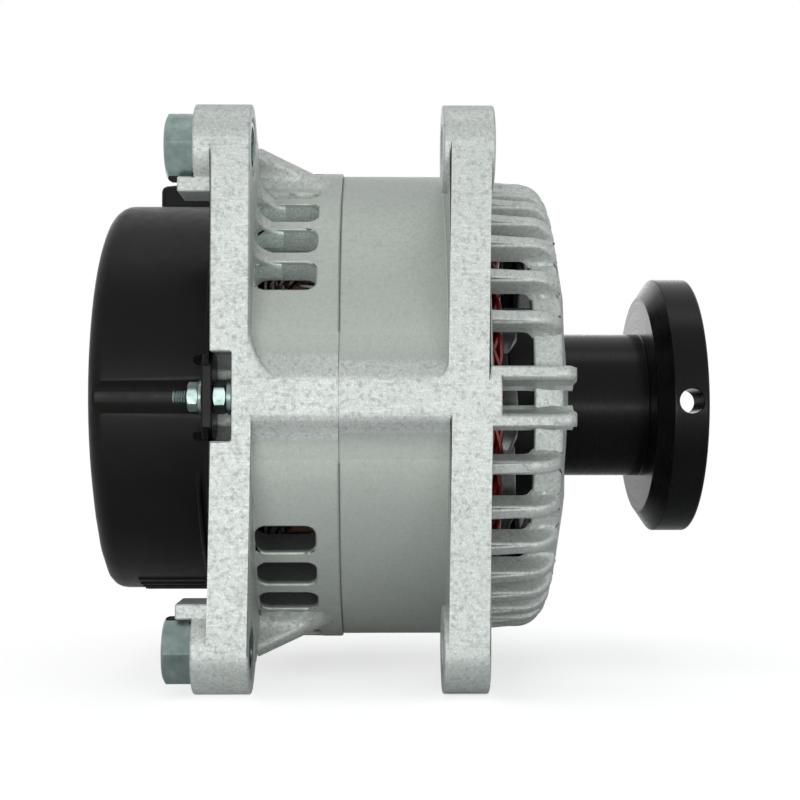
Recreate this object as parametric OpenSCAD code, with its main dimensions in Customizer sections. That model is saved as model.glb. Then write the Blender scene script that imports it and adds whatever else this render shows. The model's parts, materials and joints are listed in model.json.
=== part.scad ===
// Twin-lug alternator with a flanged drive hub.
// The shaft runs along X. The origin is on the shaft axis at the hub's front face.
// +X points out of the hub.
// The two mounting lugs and the front through-bolt face -Y. Angles are measured from -Y up towards +Z.

/* [Main lengths along the shaft] */
// Hub front face to the front of the drive bracket
hub_reach = 39.3; // [37:0.1:44]
// Drive bracket, front face to the seam with the rear bracket
drive_len = 67; // [66:0.1:74]
// Rear bracket, seam to the face that carries the cover
rear_len = 33.8; // [33:0.1:40]
// Rear cover, bracket face to end face
cover_len = 35.6; // [34:0.1:44]

/* [Casing] */
// Radius of the drive bracket's barrel
drive_r = 70.9; // [70:0.1:76]
// Height of the rear bracket's barrel above it
rear_step = 0.8; // [0.4:0.1:1.2]
// Drop from the barrel to the drive end's shelf between the fins
shelf_drop = 8.9; // [8.6:0.1:9.2]
// Height of the fins above the shelf
fin_high = 6.7; // [5.5:0.1:7.2]
// Wall of the drive end's front and of the rear bracket's end
end_wall = 4.8; // [4:0.1:5.5]
// Length of the open vent ring between the fins
vent_len = 12; // [10:0.1:12.5]
// Fins round the drive end
fin_count = 36; // [36]
// Thickness of one fin
fin_w = 3.1; // [2.6:0.1:3.6]
// Rounding of a fin's front corner
fin_round = 7.5; // [6:0.1:8]
// Height of a through bolt's boss above the barrel
boss_rise = 3.9; // [3.6:0.1:4.8]
// Width of a through bolt's boss
boss_w = 16.4; // [15:0.1:18]

/* [Mounting lugs] */
// Lug axis, distance in front of the shaft axis
lug_out = 63; // [62:0.1:65]
// Lug axis, distance above and below the shaft axis
lug_rise = 67.5; // [67:0.1:69]
// Outer radius of a lug
lug_r = 11.8; // [11.5:0.1:12.5]
// Radius of the drive lug's bolt hole
drive_hole_r = 6.25; // [6:0.05:6.6]
// Thickness of the drive arm
arm_t = 10.6; // [9:0.1:12]
// Height that both drive lugs stand proud of the arm's back
lug_proud = 1.7; // [0.5:0.1:2]
// Height that the upper drive lug stands proud of the arm's front
upper_proud = 1.5; // [0.5:0.1:2]
// Thickness of the rear plate
plate_t = 10.5; // [9.5:0.1:11]
// Height that the rear lug stands proud of the plate's back
rear_proud = 4.8; // [3:0.1:6]

/* [Mount bushes] */
// Outer radius of the bush sleeve
bush_r = 8; // [7.5:0.1:8.5]
// Bore of the bush, ready for an M12 thread
bush_bore_r = 5.1; // [4.8:0.05:5.3]
// Hexagon of the bush, across the flats
bush_af = 17; // [16:0.5:17.5]
// Height of the bush's hexagon
bush_head = 7.9; // [6:0.1:9]
// Running clearance of the sleeve in its lug
bush_clear = 0.04; // [0.02:0.01:0.08]

/* [Through bolts] */
// Through bolts round the casing
bolt_count = 3; // [3]
// Depth of a bolt's axis under the top of its boss
bolt_depth = 5.3; // [5:0.1:5.6]
// Shank radius
bolt_r = 2.5; // [2.3:0.1:2.6]
// Clearance of the shank in its bosses
bolt_clear = 0.3; // [0.2:0.05:0.4]
// Hexagon collar of the bolt, across the flats
collar_af = 8; // [7:0.5:9]
// Thickness of the collar
collar_t = 3.5; // [3:0.1:4]
// Thickness of the washer under the collar
washer_t = 1.6; // [1:0.1:2]
// Radius of that washer
washer_r = 4.8; // [4.7:0.1:5.5]
// Radius of the stud that carries the cover
stud_r = 2; // [1.8:0.1:2.2]
// Length of that stud beyond the collar
stud_len = 10.8; // [10:0.1:12]
// Depth of the notch in the rear plate round a bolt
notch_depth = 5.9; // [5.5:0.1:6.5]
// Width of the notch
notch_w = 23.4; // [23:0.1:26]
// Cover nut across the flats
nut_af = 7; // [6.5:0.5:8]
// Height of the cover nut
nut_t = 3; // [2.5:0.1:3.5]
// Thickness of the washer under the cover nut
nut_washer_t = 1.1; // [0.8:0.1:1.3]

/* [Rear cover] */
// Drop from the barrel to the cover's side
cover_drop = 11.7; // [11:0.1:12.2]
// Height of the cover's centre above the shaft axis
cover_rise = 2.4; // [1.5:0.1:2.6]
// Wall of the cover
cover_wall = 2.4; // [2:0.1:2.6]
// Rounding of the cover's rear edge
cover_round = 5.5; // [4:0.1:6]
// Radius of the axial channel that clears a through bolt
channel_r = 11.5; // [11:0.1:12]
// Thickness of a cover ear
ear_t = 2.8; // [2.4:0.1:3.2]
// Width of a cover ear
ear_w = 22.6; // [20:0.1:22.8]
// Height of the cover's base flange above its wall
lip_out = 2.6; // [1.5:0.1:3]
// Thickness of the base flange
lip_t = 3; // [2:0.1:4]

/* [Drive hub] */
// Radius of the hub's flange
rim_r = 39.4; // [38.5:0.1:41]
// Thickness of the flange
rim_t = 14.2; // [13:0.1:15]
// Radius where the back chamfer starts
chamfer_r = 33.5; // [31:0.1:35]
// Axial height of the back chamfer
chamfer_t = 4.1; // [3:0.1:5]
// Radius of the hub's barrel
barrel_r = 22.2; // [21.5:0.1:22.4]
// Radius of the pilot recess in the front face
pilot_r = 25; // [24:0.1:26]
// Depth of the pilot recess
pilot_depth = 9; // [8:0.1:9.5]
// Radius of the nut well
well_r = 15; // [14:0.1:16]
// Depth of the nut well's floor below the front face
well_depth = 22.5; // [21.5:0.1:24]
// Radius of the tommy-bar hole
bar_hole_r = 3.6; // [3:0.1:4]
// Tommy-bar hole, distance behind the front face
bar_hole_x = 5.2; // [4.5:0.1:5.4]
// Face bolts
face_bolts = 4; // [4]
// Pitch circle of the face bolts
face_pcd = 64; // [62:0.5:66]
// Radius of a face bolt's tapping hole
face_hole_r = 3.4; // [3:0.1:3.5]
// Depth of a face bolt's hole
face_hole_depth = 9.5; // [8:0.1:9.6]

/* [Stator and rotor] */
// Wall of the barrel over the stator core
barrel_wall = 5.9; // [5.8:0.1:6.4]
// Depth of the stator core, outside to bore
stator_depth = 12.7; // [12:0.1:12.8]
// Length of the stator core
stator_len = 32; // [30:0.5:34]
// Length of the stator core that the rear bracket holds
stator_in_rear = 5.7; // [5:0.1:7]
// Slots of the stator
slot_count = 36; // [36]
// Thickness of the end windings
winding_t = 7; // [6:0.1:7]
// Length of the drive end winding beyond the core
drive_winding_len = 18.5; // [15:0.5:19]
// Length of the rear end winding beyond the core
rear_winding_len = 16; // [13:0.5:17]
// Air gap between the claw poles and the stator
air_gap = 0.4; // [0.3:0.05:0.6]
// Length over both claw poles
pole_len = 42; // [40:0.5:43]
// Claws of one pole
claw_count = 6; // [6]
// Thickness of a pole's disc
pole_disc_t = 12; // [11:0.5:13]
// Depth of the claws over the field coil
coil_depth = 13.9; // [13.5:0.1:16]
// Clearance of the fans inside the claw poles' circle
fan_drop = 1.4; // [1:0.1:2.5]
// Thickness of fan sheet
fan_t = 1.5; // [1:0.1:1.8]
// Height of the drive fan over its blades
drive_fan_h = 19; // [16:0.5:19]
// Height of the rear fan over its blades
rear_fan_h = 9; // [8:0.5:9.5]

/* [Shaft and bearings] */
// Radius of the shaft in the drive bearing and the hub
shaft_r = 8.5; // [8.5]
// Radius of the shaft's thread
thread_r = 7; // [6:0.5:7]
// Radius of the shaft in the rear bearing
rear_shaft_r = 7.5; // [7.5]
// Radius of the shaft's tail under the slip rings
tail_r = 5; // [4.5:0.1:5.5]
// Outer radius of the drive bearing
drive_bearing_r = 23.5; // [23.5]
// Width of the drive bearing
drive_bearing_t = 14; // [14]
// Outer radius of the rear bearing
rear_bearing_r = 17.5; // [17.5]
// Width of the rear bearing
rear_bearing_t = 11; // [11]

/* [Slip rings and brushes] */
// Outer radius of the slip rings
ring_r = 8.5; // [8.2:0.1:9]
// Width of one slip ring
ring_w = 7; // [6:0.5:8]
// Pitch of the two slip rings
ring_pitch = 11; // [10.5:0.5:12]
// Width of a brush along the shaft
brush_w = 5; // [4:0.5:5.5]
// Thickness of a brush across the shaft
brush_d = 7; // [6:0.5:8]
// Length of a new brush
brush_len = 16; // [14:0.5:18]
// Clearance of a brush in its channel
brush_clear = 0.15; // [0.1:0.05:0.3]
// Gap at rest between a brush and its ring
brush_gap = 0.04; // [0.02:0.01:0.1]
// Free height behind a seated brush for its spring
spring_len = 11; // [10:0.5:12]

/* [Hidden] */

$fn = 96;
outline_fn = 32;
eps = 0.01;
through = 1;

// Radii that follow from the drive bracket's barrel.
rear_r = drive_r + rear_step;
shelf_r = drive_r - shelf_drop;
boss_r = drive_r + boss_rise;
bolt_ring_r = boss_r - bolt_depth;
cover_r = drive_r - cover_drop;
stator_r = drive_r - barrel_wall;
stator_in_r = stator_r - stator_depth;
winding_in_r = stator_in_r + 1.2;
winding_r = winding_in_r + winding_t;
pole_r = stator_in_r - air_gap;
coil_r = pole_r - coil_depth;
fan_r = pole_r - fan_drop;

// Stations along the shaft, all negative, from the hub's front face backwards.
drive_x = -hub_reach;
seam_x = drive_x - drive_len;
plate_back_x = seam_x - rear_len;
plate_front_x = plate_back_x + plate_t;
cover_end_x = plate_back_x - cover_len;
vent_back_x = drive_x - 26;
vent_front_x = vent_back_x + vent_len;
arm_front_x = vent_back_x - 1;
arm_back_x = arm_front_x - arm_t;
rear_lug_back_x = plate_back_x - rear_proud;
boss_back_x = plate_back_x + notch_depth;
stator_back_x = seam_x - stator_in_rear;
stator_front_x = stator_back_x + stator_len;
rotor_x = (stator_back_x + stator_front_x) / 2;
pole_front_x = rotor_x + pole_len / 2;
pole_back_x = rotor_x - pole_len / 2;

// Drive bearing seat, between the front lip and the retainer.
lip_depth = 4;
bearing_front_x = drive_x - lip_depth;
bearing_back_x = bearing_front_x - drive_bearing_t;
counterbore_depth = 2.5;
barrel_entry = 1.5;
barrel_back_x = drive_x - barrel_entry;
bearing_boss_r = drive_bearing_r + 7;
retainer_t = 2;
retainer_ring_r = 27.2;
retainer_screw_r = 2;

// Rear bearing seat, open to the rotor.
rear_lip_t = 0.8;
rear_bearing_back_x = plate_back_x + rear_lip_t;
rear_bearing_front_x = rear_bearing_back_x + rear_bearing_t;
rear_boss_r = rear_bearing_r + 5;

// Ears of the brackets, seen along the shaft.
root_out = 28;
root_rise = 48;
root_r = 15;

// Rear vent slots.
slot_phase = 7.5;
rear_slot_front_x = plate_front_x + 16.9;
rear_slot_back_x = plate_front_x + 0.4;
rear_slot_w = 8.8;
slot_free_angle = 22;

// Stack of parts on a through bolt, from its boss backwards.
washer_back_x = boss_back_x - washer_t;
collar_back_x = washer_back_x - collar_t;
ear_back_x = collar_back_x - ear_t;
nut_washer_back_x = ear_back_x - nut_washer_t;
nut_back_x = nut_washer_back_x - nut_t;
stud_end_x = collar_back_x - stud_len;
bolt_front_x = arm_front_x - 1.5;
boss_front_x = vent_back_x + 2.1;

// Rectifier stack on the rear bracket's back.
sink_in_r = 24;
sink_r = 52;
sink_t = 3;
sink_gap = 8;
sink_from = 145;
sink_to = 378;
negative_back_x = plate_back_x - sink_t;
positive_front_x = negative_back_x - sink_gap;
positive_back_x = positive_front_x - sink_t;
sink_screw_r = 2;
sink_screw_ring = 48;
sink_screw_angles = [165, 255, 330];
diode_ring = 36;
diode_r = 6.35;
negative_diode_angles = [180, 225, 285];
positive_diode_angles = [195, 240, 300];
air_in_r = 27;
air_out_r = 43.5;
air_count = 6;
air_half = 21;

// Output stud, in a pocket of the cover's far side.
stud_y = 37;
stud_z = -4;
b_stud_r = 4;
b_stud_head_t = 4;
pocket_x = positive_back_x - 6;
pocket_half = 19;
pocket_in_y = 22;
b_nut_af = 13;
b_nut_t = 5;
b_stud_end_x = cover_end_x + 1.2;
b_groove_t = 0.6;
b_groove_r = 3.6;

// Slip rings and brushes, from the rear bearing backwards.
sleeve_front_x = plate_back_x - 1.5;
ring_mid_x = sleeve_front_x - 3 - ring_w / 2;
ring_ends = [ring_mid_x, ring_mid_x - ring_pitch];
sleeve_back_x = ring_ends[1] - ring_w / 2 - 1.5;
shaft_tail_x = sleeve_back_x - 0.8;
ring_seat_r = ring_r - 1.5;
brush_low = ring_r + brush_gap;
brush_high = brush_low + brush_len;
channel_high = brush_high + spring_len;
holder_wall = 2;
holder_low = ring_r + 2.2;
holder_high = channel_high + holder_wall;
holder_d = brush_d + 2 * brush_clear + 2 * holder_wall;
holder_front_x = ring_ends[0] + brush_w / 2 + brush_clear + holder_wall;
holder_back_x = ring_ends[1] - brush_w / 2 - brush_clear - holder_wall;

// Regulator and its connector, beside the brush holder.
regulator_y0 = holder_d / 2;
regulator_y1 = 33;
regulator_z0 = 18.5;
regulator_z1 = 42;
socket_y0 = 6;
socket_y1 = 26;
socket_z0 = cover_r + cover_rise - 3;
socket_z1 = socket_z0 + 13.8;
socket_back_x = plate_back_x - 25;
socket_front_x = plate_back_x - 2.5;
socket_wall = 2;
socket_depth = 12;
window_clear = 0.3;

// Pole discs, fan plates and coil.
finger_root = 12.2;
finger_tip = 5;
finger_root_w = 26;
finger_tip_w = 11;
coil_gap = 0.5;
fan_in_r = 33;
blade_count = 11;
blade_sweep = 32;

// Hub nut and washer in the well.
hub_washer_t = 2.5;
hub_washer_r = 13;
hub_nut_t = 9;
hub_nut_af = 22;
shaft_tip_x = -well_depth + hub_washer_t + hub_nut_t + 1.4;
hub_nose_r = 12.5;

alu = [0.77, 0.80, 0.78];
black_plastic = [0.12, 0.13, 0.12];
black_steel = [0.06, 0.065, 0.06];
zinc = [0.52, 0.58, 0.57];
steel = [0.6, 0.62, 0.62];
copper = [0.42, 0.1, 0.08];
core_steel = [0.3, 0.31, 0.31];
brass = [0.72, 0.6, 0.32];
carbon = [0.15, 0.15, 0.15];
board = [0.2, 0.16, 0.12];

function bolt_angles() = [for (i = [0 : bolt_count - 1]) i * 360 / bolt_count];
function turn_gap(a, b) = abs((a - b + 540) % 360 - 180);
function clear_of_bolts(a, gap) = min([for (b = bolt_angles()) turn_gap(a, b)]) > gap;
function circle_point(r, a) = [r * cos(a), r * sin(a)];

// Turns a shape that stands along +Z to the angle a, measured from -Y up towards +Z.
module at(a) {
    rotate([90 - a, 0, 0]) children();
}

// A slab of thickness t from station x forwards, from an outline in Y and Z.
module slab(x, t) {
    translate([x, 0, 0]) rotate([90, 0, 90]) linear_extrude(t) children();
}

// A shape of revolution about the shaft, from [radius, station] points.
module turned(points) {
    rotate([0, 90, 0]) rotate_extrude() polygon(points);
}

module rod(x, t, r, y = 0, z = 0) {
    translate([x, y, z]) rotate([0, 90, 0]) cylinder(h = t, r = r);
}

module pipe(x, t, r, in_r) {
    difference() {
        rod(x, t, r);
        rod(x - through, t + 2 * through, in_r);
    }
}

// A hexagonal prism with flats towards +Z and -Z.
module hexagon(x, t, af, y = 0, z = 0) {
    translate([x, y, z]) rotate([0, 90, 0]) rotate([0, 0, 30]) cylinder(h = t, r = af / sqrt(3), $fn = 6);
}

// A flat plate through the axis direction, from [station, radius] points, w thick.
module blade_plate(points, w) {
    rotate([90, 0, 0]) linear_extrude(w, center = true) polygon(points);
}

// A ring sector in Y and Z, from angle a0 to a1 turned from +Y towards +Z.
module sector(r0, r1, a0, a1) {
    steps = ceil((a1 - a0) / 8);
    far = r1 / cos(8) + 1;
    difference() {
        intersection() {
            circle(r = r1);
            polygon(concat([[0, 0]], [for (i = [0 : steps]) circle_point(far, a0 + (a1 - a0) * i / steps)]));
        }
        circle(r = r0);
    }
}

// Brackets

module lug_disc(side, r) {
    translate([-lug_out, side * lug_rise]) circle(r = r, $fn = outline_fn * 2);
}

module bracket_outline(r) {
    circle(r = r);
    hull() {
        lug_disc(-1, lug_r);
        lug_disc(1, lug_r);
    }
    for (side = [-1, 1]) hull() {
        lug_disc(side, lug_r);
        translate([-root_out, side * root_rise]) circle(r = root_r, $fn = outline_fn * 2);
    }
}

module lug(x, t, side) {
    rod(x, t, lug_r, -lug_out, side * lug_rise);
}

module lug_bore(x, t, r, side) {
    rod(x - through, t + 2 * through, r, -lug_out, side * lug_rise);
}

// Boss round a through bolt, seen along the shaft, standing along +Z.
module boss_shape() {
    corner = 4;
    steps = 8;
    half = boss_w / 2;
    low = drive_r - 6;
    turns = [for (i = [0 : steps]) 90 * i / steps];
    right = [for (t = turns) [half - corner + corner * cos(t), boss_r - corner + corner * sin(t)]];
    left = [for (i = [steps : -1 : 0]) [-right[i][0], right[i][1]]];
    polygon(concat([[half, low]], right, left, [[-half, low]]));
}

// Outline of the drive bracket's barrel with its bosses.
module barrel_outline() {
    circle(r = drive_r);
    for (a = bolt_angles()) rotate(90 - a) boss_shape();
}

module bolt_bosses(x, t) {
    for (a = bolt_angles()) at(a) slab(x, t) boss_shape();
}

module bolt_holes(x, t) {
    for (a = bolt_angles()) at(a) rod(x, t, bolt_r + bolt_clear, 0, bolt_ring_r);
}

module rear_slot() {
    corner = 3;
    length = rear_slot_front_x - rear_slot_back_x;
    translate([rear_slot_back_x + length / 2, 0, stator_in_r]) linear_extrude(rear_r) {
        square([length - 2 * corner, rear_slot_w], center = true);
        square([length, rear_slot_w - 2 * corner], center = true);
        for (i = [-1, 1], j = [-1, 1]) {
            translate([i * (length / 2 - corner), j * (rear_slot_w / 2 - corner)]) circle(r = corner);
        }
    }
}

module rear_slots() {
    for (k = [0 : slot_count - 1]) {
        a = slot_phase + k * 360 / slot_count;
        if (clear_of_bolts(a, slot_free_angle)) at(a) rear_slot();
    }
}

// Rib that braces a rear lug's ear against the barrel.
module gusset(side) {
    angle = 62;
    reach = 84;
    width = 5;
    foot_x = seam_x - 2;
    points = [[plate_front_x - 1, rear_r - 8], [plate_front_x - 1, reach], [plate_front_x, reach],
        [foot_x, rear_r + 0.3], [foot_x, rear_r - 8]];
    at(side * angle) blade_plate(points, width);
}

// Notch in the rear plate where a cover ear and its nut lie.
module bolt_notch() {
    inner = cover_r + 1.3;
    corner = 4;
    depth_x = plate_back_x - rear_proud;
    half = notch_w / 2;
    slab(depth_x, boss_back_x - depth_x) polygon([[-half, inner + corner], [-half + corner, inner],
        [half - corner, inner], [half, inner + corner], [half, boss_r + corner], [-half, boss_r + corner]]);
}

// Tab that keeps a bush's hexagon from turning.
module bush_tab(side) {
    tab_t = 4.2;
    tab_w = 15;
    tab_len = 9.2;
    high = lug_rise - bush_af / 2 - 0.3;
    low = high - tab_t;
    z0 = side > 0 ? low : -high;
    translate([plate_back_x - tab_len, -lug_out - tab_w / 2, z0]) cube([tab_len + 1, tab_w, tab_t]);
}

module rear_bracket() color(alu) {
    cavity_front = seam_x + through;
    inner_r = stator_r - 2.5;
    wall_x = plate_back_x + end_wall;
    difference() {
        union() {
            difference() {
                union() {
                    slab(plate_back_x, plate_t) bracket_outline(rear_r);
                    rod(plate_back_x, rear_len, rear_r);
                    for (side = [-1, 1]) {
                        lug(rear_lug_back_x, rear_proud + plate_t, side);
                        bush_tab(side);
                        gusset(side);
                    }
                    bolt_bosses(boss_back_x, seam_x - boss_back_x);
                }
                turned([[0, wall_x], [inner_r, wall_x], [inner_r, stator_back_x], [stator_r, stator_back_x],
                    [stator_r, cavity_front], [0, cavity_front]]);
                rear_slots();
            }
            rod(plate_back_x, rear_bearing_front_x - plate_back_x, rear_boss_r);
        }
        rod(rear_bearing_back_x, rear_bearing_t + through, rear_bearing_r);
        rod(plate_back_x - through, 2 * through + rear_lip_t, rear_bearing_r - 3);
        for (k = [0 : air_count - 1]) {
            mid = k * 360 / air_count;
            slab(plate_back_x - through, end_wall + 2 * through) sector(air_in_r, air_out_r, mid - air_half,
                mid + air_half);
        }
        for (side = [-1, 1]) lug_bore(rear_lug_back_x, rear_proud + plate_t, bush_r + bush_clear, side);
        bolt_holes(boss_back_x - through, rear_len);
        for (a = bolt_angles()) at(a) bolt_notch();
        for (a = sink_screw_angles) {
            p = circle_point(sink_screw_ring, a);
            rod(plate_back_x - through, end_wall + 2 * through, sink_screw_r, p[0], p[1]);
        }
    }
}

// Front of the drive bracket between and under the fins, and the fins' own outline.
nose_r = 24;
nose_drop = 0.3;
brow_r = shelf_r - 16;
brow_x = drive_x - 2.8;
shoulder_x = drive_x - 6;
fin_end_x = drive_x - 6.3;
boss_fin_end_x = drive_x - 4;
boss_fin_round = 3;
fin_top_r = shelf_r + fin_high;

module fin(reach, end_x, soft) {
    steps = 8;
    low = shelf_r - 1;
    foot_x = vent_back_x - 1;
    turns = [for (i = [0 : steps]) 90 * i / steps];
    corner = [for (t = turns) [end_x - soft + soft * sin(t), reach - soft + soft * cos(t)]];
    blade_plate(concat([[foot_x, low], [foot_x, reach + 1.2]], corner, [[end_x, low]]), fin_w);
}

module fins() {
    step = 360 / fin_count;
    for (k = [0 : fin_count - 1]) {
        a = (k + 0.5) * step;
        beside_bolt = !clear_of_bolts(a, step * 0.6);
        at(a) if (beside_bolt) fin(boss_r - 1.2, boss_fin_end_x, boss_fin_round);
        else fin(fin_top_r, fin_end_x, fin_round);
    }
}

module front_wall() {
    in_r = bearing_boss_r - 4;
    back_x = shoulder_x - 0.7;
    turned([[in_r, drive_x - 3], [nose_r, drive_x - nose_drop], [brow_r, brow_x], [shelf_r - 0.8, shoulder_x],
        [shelf_r, back_x], [shelf_r, vent_front_x], [shelf_r - end_wall, vent_front_x],
        [shelf_r - end_wall, back_x - end_wall + 1], [brow_r, brow_x - end_wall],
        [in_r, drive_x - 0.5 - end_wall]]);
}

module bearing_housing() {
    nose_t = 2;
    difference() {
        union() {
            rod(bearing_back_x, -bearing_back_x + drive_x - 1.4, bearing_boss_r);
            rod(drive_x - nose_t, nose_t, nose_r + 1);
        }
        rod(bearing_back_x - through, drive_bearing_t + through, drive_bearing_r);
        rod(bearing_front_x - through, lip_depth + 2 * through, drive_bearing_r - 4);
        rod(drive_x - counterbore_depth, counterbore_depth + through, barrel_r + 0.8);
        for (a = [45 : 90 : 315]) at(a) rod(bearing_back_x - through, 9, retainer_screw_r, 0, retainer_ring_r);
    }
}

function drive_lug_t(side) = arm_t + lug_proud + (side > 0 ? upper_proud : 0);

module drive_bracket() color(alu) {
    lug_back_x = arm_back_x - lug_proud;
    inner_r = winding_r + 1.8;
    ring_r = drive_r - 3;
    ring_x = boss_front_x + through;
    intake_count = 9;
    intake_half = 14;
    difference() {
        union() {
            difference() {
                union() {
                    slab(seam_x, vent_back_x - seam_x) barrel_outline();
                    slab(arm_back_x, arm_t) bracket_outline(drive_r);
                    for (side = [-1, 1]) lug(lug_back_x, drive_lug_t(side), side);
                    bolt_bosses(arm_back_x, boss_front_x - arm_back_x);
                }
                turned([[0, seam_x - through], [stator_r, seam_x - through], [stator_r, stator_front_x],
                    [inner_r, stator_front_x], [inner_r, vent_back_x], [ring_r, vent_back_x], [ring_r, ring_x],
                    [0, ring_x]]);
                bolt_holes(seam_x - through, bolt_front_x - seam_x + 2 * through);
            }
            fins();
            difference() {
                front_wall();
                for (k = [0 : intake_count - 1]) {
                    mid = k * 360 / intake_count;
                    slab(drive_x - 20, 20 + through) sector(bearing_boss_r + 3.5, shelf_r - end_wall - 2,
                        mid - intake_half, mid + intake_half);
                }
            }
            bearing_housing();
        }
        for (side = [-1, 1]) lug_bore(lug_back_x, drive_lug_t(side), drive_hole_r, side);
    }
}

// Stator

module stator_core() color(core_steel) {
    slot_w = 4.4;
    slot_out = winding_r - 0.5;
    slab(stator_back_x, stator_len) difference() {
        circle(r = stator_r);
        circle(r = stator_in_r);
        for (k = [0 : slot_count - 1]) rotate(k * 360 / slot_count) {
            translate([stator_in_r - 1, -slot_w / 2]) square([slot_out - stator_in_r + 1, slot_w]);
        }
    }
}

module end_winding(x0, x1) {
    soft = 2.4;
    mid_r = (winding_r + winding_in_r) / 2;
    tip = x1 > x0 ? x1 - soft : x1 + soft;
    nearly = tip + (x1 - tip) * 0.7;
    turned([[winding_in_r, x0], [winding_r, x0], [winding_r, tip], [winding_r - soft * 0.3, nearly],
        [mid_r + 1, x1], [mid_r - 1, x1], [winding_in_r + soft * 0.3, nearly], [winding_in_r, tip]]);
}

module drive_end_winding() color(copper) {
    end_winding(stator_front_x, stator_front_x + drive_winding_len);
}

module rear_end_winding() color(copper) {
    end_winding(stator_back_x, stator_back_x - rear_winding_len);
}

// Through bolts with the studs that carry the cover

module through_bolts() color(steel) {
    for (a = bolt_angles()) at(a) {
        rod(collar_back_x, bolt_front_x - collar_back_x, bolt_r, 0, bolt_ring_r);
        hexagon(collar_back_x, collar_t, collar_af, 0, bolt_ring_r);
        rod(stud_end_x, stud_len + collar_t, stud_r, 0, bolt_ring_r);
    }
}

module washers_on_bolts(x, t, r, in_r) {
    for (a = bolt_angles()) at(a) translate([0, 0, bolt_ring_r]) pipe(x, t, r, in_r);
}

module bolt_washers() color(zinc) {
    washers_on_bolts(washer_back_x, washer_t, washer_r, bolt_r + 0.1);
}

module cover_nut_washers() color(zinc) {
    washers_on_bolts(nut_washer_back_x, nut_washer_t, washer_r - 0.2, stud_r + 0.1);
}

module cover_nuts() color(zinc) {
    for (a = bolt_angles()) at(a) difference() {
        hexagon(nut_back_x, nut_t, nut_af, 0, bolt_ring_r);
        rod(nut_back_x - through, nut_t + 2 * through, stud_r + 0.02, 0, bolt_ring_r);
    }
}

// Rear cover

module cover_form(r, x0, x1, soft) {
    steps = 6;
    turns = [for (i = [0 : steps]) 90 * i / steps];
    corner = [for (t = turns) [r - soft + soft * cos(t), x0 + soft - soft * sin(t)]];
    translate([0, 0, cover_rise]) turned(concat([[0, x1], [r, x1]], corner, [[0, x0]]));
}

module channels(r) {
    for (a = bolt_angles()) at(a) rod(cover_end_x - 2, cover_len + 4, r, 0, bolt_ring_r);
}

module cover_ear() {
    half = ear_w / 2;
    corner = 3;
    inner = cover_r - 6;
    clear_r = cover_r + 1.8;
    ear_step = 0.3;
    rib_x = ear_back_x - 3.6;
    rib_in = cover_r - 2.9;
    foot_t = plate_back_x - ear_back_x - ear_step;
    top = [[half, boss_r - corner], [half - corner, boss_r], [-half + corner, boss_r], [-half, boss_r - corner]];
    difference() {
        union() {
            slab(ear_back_x, foot_t) polygon(concat([[-half, inner], [half, inner]], top));
            slab(ear_back_x, ear_t) polygon(concat([[-half, clear_r + corner], [-half + corner, clear_r],
                [half - corner, clear_r], [half, clear_r + corner]], top));
            for (s = [-1, 1]) translate([0, s * (half - 1), 0]) {
                blade_plate([[rib_x, rib_in], [rib_x, rib_in + 6.5], [ear_back_x, boss_r - corner],
                    [ear_back_x + 1, boss_r - corner], [ear_back_x + 1, rib_in]], 2);
            }
        }
        rod(ear_back_x - through, ear_t + 2 * through, stud_r + 0.15, 0, bolt_ring_r);
    }
}

module pocket(grow) {
    translate([cover_end_x - 10, pocket_in_y - grow, stud_z - pocket_half - grow]) {
        cube([pocket_x - cover_end_x + 10 + grow, cover_r, 2 * (pocket_half + grow)]);
    }
}

module cover_vents() {
    vent_count = 14;
    for (k = [0 : vent_count - 1]) {
        a = 20 + k * 320 / vent_count;
        w = 4;
        if (turn_gap(a, 180) > 42) translate([cover_end_x - 1, 0, cover_rise]) at(a) {
            translate([0, -w / 2, 24]) cube([cover_wall + 2, w, 22]);
        }
    }
}

module rear_cover() color(black_plastic) {
    inner_r = cover_r - cover_wall;
    window_len = socket_front_x - socket_back_x + 2 * window_clear;
    window_w = socket_y1 - socket_y0 + 2 * window_clear;
    difference() {
        union() {
            difference() {
                union() {
                    cover_form(cover_r, cover_end_x, plate_back_x, cover_round);
                    translate([0, 0, cover_rise]) rod(plate_back_x - lip_t, lip_t, cover_r + lip_out);
                }
                channels(channel_r);
                pocket(0);
            }
            for (a = bolt_angles()) at(a) cover_ear();
        }
        difference() {
            cover_form(inner_r, cover_end_x + cover_wall, plate_back_x + 1, cover_round - cover_wall);
            channels(channel_r + cover_wall);
            pocket(cover_wall);
        }
        cover_vents();
        rod(pocket_x - through, cover_wall + 2 * through, b_stud_r + 1, stud_y, stud_z);
        translate([socket_back_x - window_clear, socket_y0 - window_clear, cover_r - 20]) {
            cube([window_len, window_w, cover_r]);
        }
    }
}

// Rectifier

module sink_screw_holes(x, t, r) {
    for (a = sink_screw_angles) {
        p = circle_point(sink_screw_ring, a);
        rod(x - through, t + 2 * through, r, p[0], p[1]);
    }
}

module diode_holes(x, t, angles) {
    for (a = angles) {
        p = circle_point(diode_ring, a);
        rod(x - through, t + 2 * through, diode_r, p[0], p[1]);
    }
}

module negative_heat_sink() color(alu) {
    difference() {
        slab(negative_back_x, sink_t) sector(sink_in_r, sink_r, sink_from, sink_to);
        sink_screw_holes(negative_back_x, sink_t, sink_screw_r + 0.2);
        diode_holes(negative_back_x, sink_t, negative_diode_angles);
    }
}

module positive_heat_sink() color(alu) {
    difference() {
        slab(positive_back_x, sink_t) sector(sink_in_r, sink_r - 2, sink_from, sink_to);
        sink_screw_holes(positive_back_x, sink_t, sink_screw_r + 0.2);
        diode_holes(positive_back_x, sink_t, positive_diode_angles);
        rod(positive_back_x - through, sink_t + 2 * through, b_stud_r + 0.05, stud_y, stud_z);
    }
}

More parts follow.
